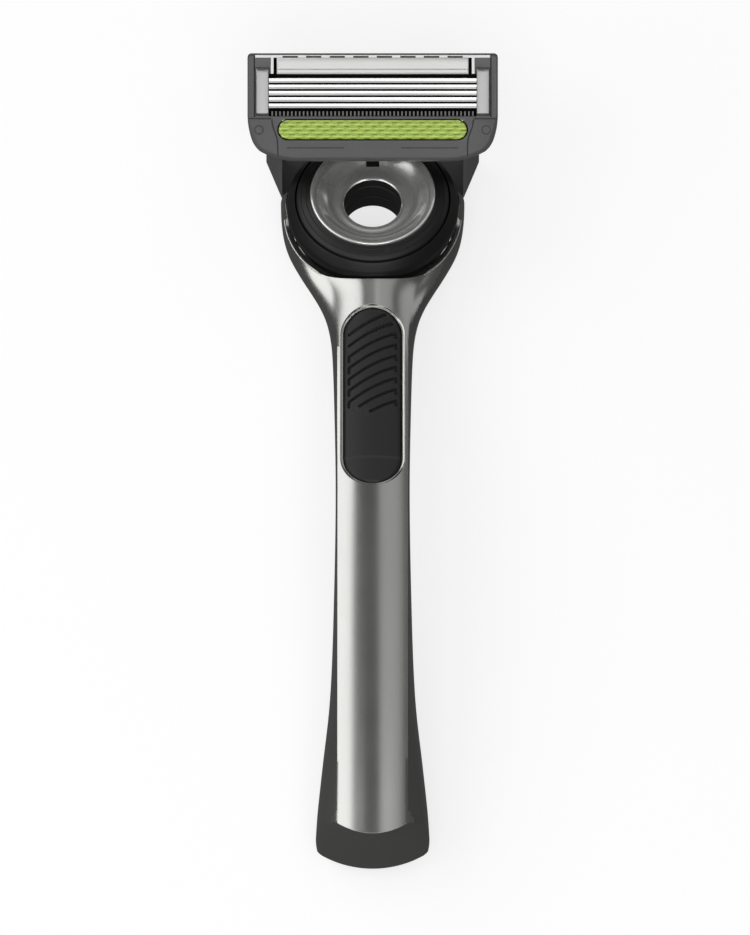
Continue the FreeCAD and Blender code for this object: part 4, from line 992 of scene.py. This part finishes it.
slots = []
for sign in (-1, 1):
    slots.append(side_box(sign, 19.74, 19.92, 7.55, 19.0, -0.7, ABOVE))
    slots.append(side_box(sign, 17.0, 20.75, 7.18, 7.36, -0.35, ABOVE))
# rinse slots through the back, three in a row behind each blade
RINSE_HALF, RINSE_PITCH, RINSE_WIDE, BEHIND = 4.8, 10.8, 0.34, -6.0
for line in range(5):
    low = BLADE_FIRST + BLADE_REACH + 0.08 + BLADE_PITCH * (line - 1) + 0.14
    for column in (-1, 0, 1):
        middle = column * RINSE_PITCH
        slots.append((middle - RINSE_HALF, middle + RINSE_HALF, low, low + RINSE_WIDE, BEHIND, -3.0))
for sign in (-1, 1):
    slots.append(side_box(sign, 8.0, 12.6, 8.2, 8.98, BEHIND, -3.9))
slots.append((-15.0, 15.0, 15.2, 17.3, BEHIND, -4.15))
carve(shell, boxes("slot_tool", slots, None))
# seams beside the posts, a round mark and a fine line on each side of the guard
MARK_X, MARK_Y, LINE_Y = 19.07, 5.38, 2.35
for sign in (-1, 1):
    seam = curve_through([(16.9, 7.1), (16.75, 6.0), (16.2, 4.5), (15.95, 3.2), (15.9, 2.0), (15.9, 0.35)],
                         24)
    seam = [(sign * x, v) for x, v in seam]
    carve(shell, prism("seam_tool", ribbon(seam, 0.17), -0.4, ABOVE))
    mark = arc(sign * MARK_X, MARK_Y, 0.78, 0, 350, 35) + arc(sign * MARK_X, MARK_Y, 0.62, 350, 0, 35)
    carve(shell, prism("mark_tool", mark, -0.14, ABOVE))
    line = [(sign * x, LINE_Y) for x in (4.8, 9.5, 14.3)]
    carve(shell, prism("line_tool", ribbon(line, 0.12), -0.12, ABOVE))
settle(shell, HEAD, 30)
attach(shell, "cartridge")
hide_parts("cartridge_frame")

# ------------------------------------------------------------------ CAD nodes that stay
look = {
    "blade_bed": "bed", "keeper_left": "steel", "keeper_right": "steel", "trimmer_blade": "blade",
    "carrier": "bed", "magnet_left": "steel", "magnet_right": "steel",
    "pivot_pin_left": "steel", "pivot_pin_right": "steel",
    "pivot_spring_left": "steel", "pivot_spring_right": "steel", "yoke": "dark_grey",
    "yoke_screws": "steel", "roll_pin_upper": "steel", "roll_pin_lower": "steel",
    "pitch_pin_left": "steel", "pitch_pin_right": "steel", "cover_screws": "steel",
    "balance_weight": "steel", "dock_plate": "steel",
}
for name, key in look.items():
    item = frame["nodes"][name]
    for place in item.material_slots:
        place.material = mats[key]

# ------------------------------------------------------------------ floor, light, camera


def plain(name, color, rough, glow):
    """Even surface that gives off a little white light."""
    mat = bpy.data.materials.new(name)
    mat.use_nodes = True
    shader = mat.node_tree.nodes["Principled BSDF"]
    shader.inputs["Base Color"].default_value = (*color, 1)
    shader.inputs["Roughness"].default_value = rough
    shader.inputs["Emission Color"].default_value = (1, 1, 1, 1)
    shader.inputs["Emission Strength"].default_value = glow
    return mat


bpy.ops.mesh.primitive_plane_add(size=12, location=(0, 0, -0.0002))
floor = bpy.context.object
floor.name = "floor"
floor.data.materials.append(plain("floor_white", (0.34, 0.34, 0.34), 0.9, 0.73))
floor.visible_glossy = False

world = bpy.data.worlds.new("studio")
bpy.context.scene.world = world
world.use_nodes = True
world.node_tree.nodes["Background"].inputs["Color"].default_value = (1, 1, 1, 1)
world.node_tree.nodes["Background"].inputs["Strength"].default_value = 0.10

VIEW_TILT = math.radians(22)
toward = Vector((0, -math.sin(VIEW_TILT), math.cos(VIEW_TILT)))
picture_up = Vector((0, math.cos(VIEW_TILT), math.sin(VIEW_TILT)))
AIM_RIGHT, AIM_BELOW_RIM = 0.39, 46.06
aim = Vector((AIM_RIGHT * MM, RIM.y, RIM.z)) - picture_up * AIM_BELOW_RIM * MM
LAMP_DISTANCE = 0.85


def softbox(name, direction, size, radiance, along=(0, 1, 0)):
    """Area lamp that faces the razor; size is its width and its length along the given direction."""
    data = bpy.data.lights.new(name, "AREA")
    data.shape = "RECTANGLE"
    data.size, data.size_y = size
    data.energy = radiance * math.pi * size[0] * size[1]
    lamp = bpy.data.objects.new(name, data)
    bpy.context.scene.collection.objects.link(lamp)
    back = Vector(direction).normalized()
    across = Vector(along).cross(back).normalized()
    turn = Matrix((across, back.cross(across), back)).transposed().to_4x4()
    lamp.matrix_world = Matrix.Translation(aim + back * LAMP_DISTANCE) @ turn
    lamp.visible_camera = False


softbox("key_left", (-0.731, 0.255, 0.632), (0.57, 1.25), 1.6)
softbox("fill_right", (0.425, 0.33, 0.84), (0.50, 1.25), 0.42)
softbox("top_head", (0.0, 0.80, 0.60), (0.34, 0.35), 0.28, (0, 0, 1))
softbox("front_low", (0.0, -0.58, 0.81), (0.66, 0.62), 2.1)
softbox("side_right", (0.80, 0.55, 0.22), (0.35, 0.3), 0.5, (0, 0, 1))
softbox("over_left", (-0.38, -0.10, 0.92), (0.28, 0.22), 1.3)
softbox("over_right", (0.38, -0.10, 0.92), (0.28, 0.22), 0.9)
softbox("low_left", (-0.66, -0.68, 0.30), (0.35, 0.35), 0.6, (0, 0, 1))

# a long lens far away; VIEW_TALL is the picture's height at the aim
SENSOR, LENS, VIEW_TALL = 36, 1200, 156.9
camera_data = bpy.data.cameras.new("camera")
camera = bpy.data.objects.new("camera", camera_data)
bpy.context.scene.collection.objects.link(camera)
camera_data.sensor_fit = "VERTICAL"
camera_data.sensor_height = SENSOR
camera_data.lens = LENS
camera_data.clip_end = 100
camera.location = aim + toward * (VIEW_TALL * MM / SENSOR * LENS)
camera.rotation_euler = toward.to_track_quat("Z", "Y").to_euler()
bpy.context.scene.camera = camera
bpy.context.scene.view_settings.view_transform = "Standard"
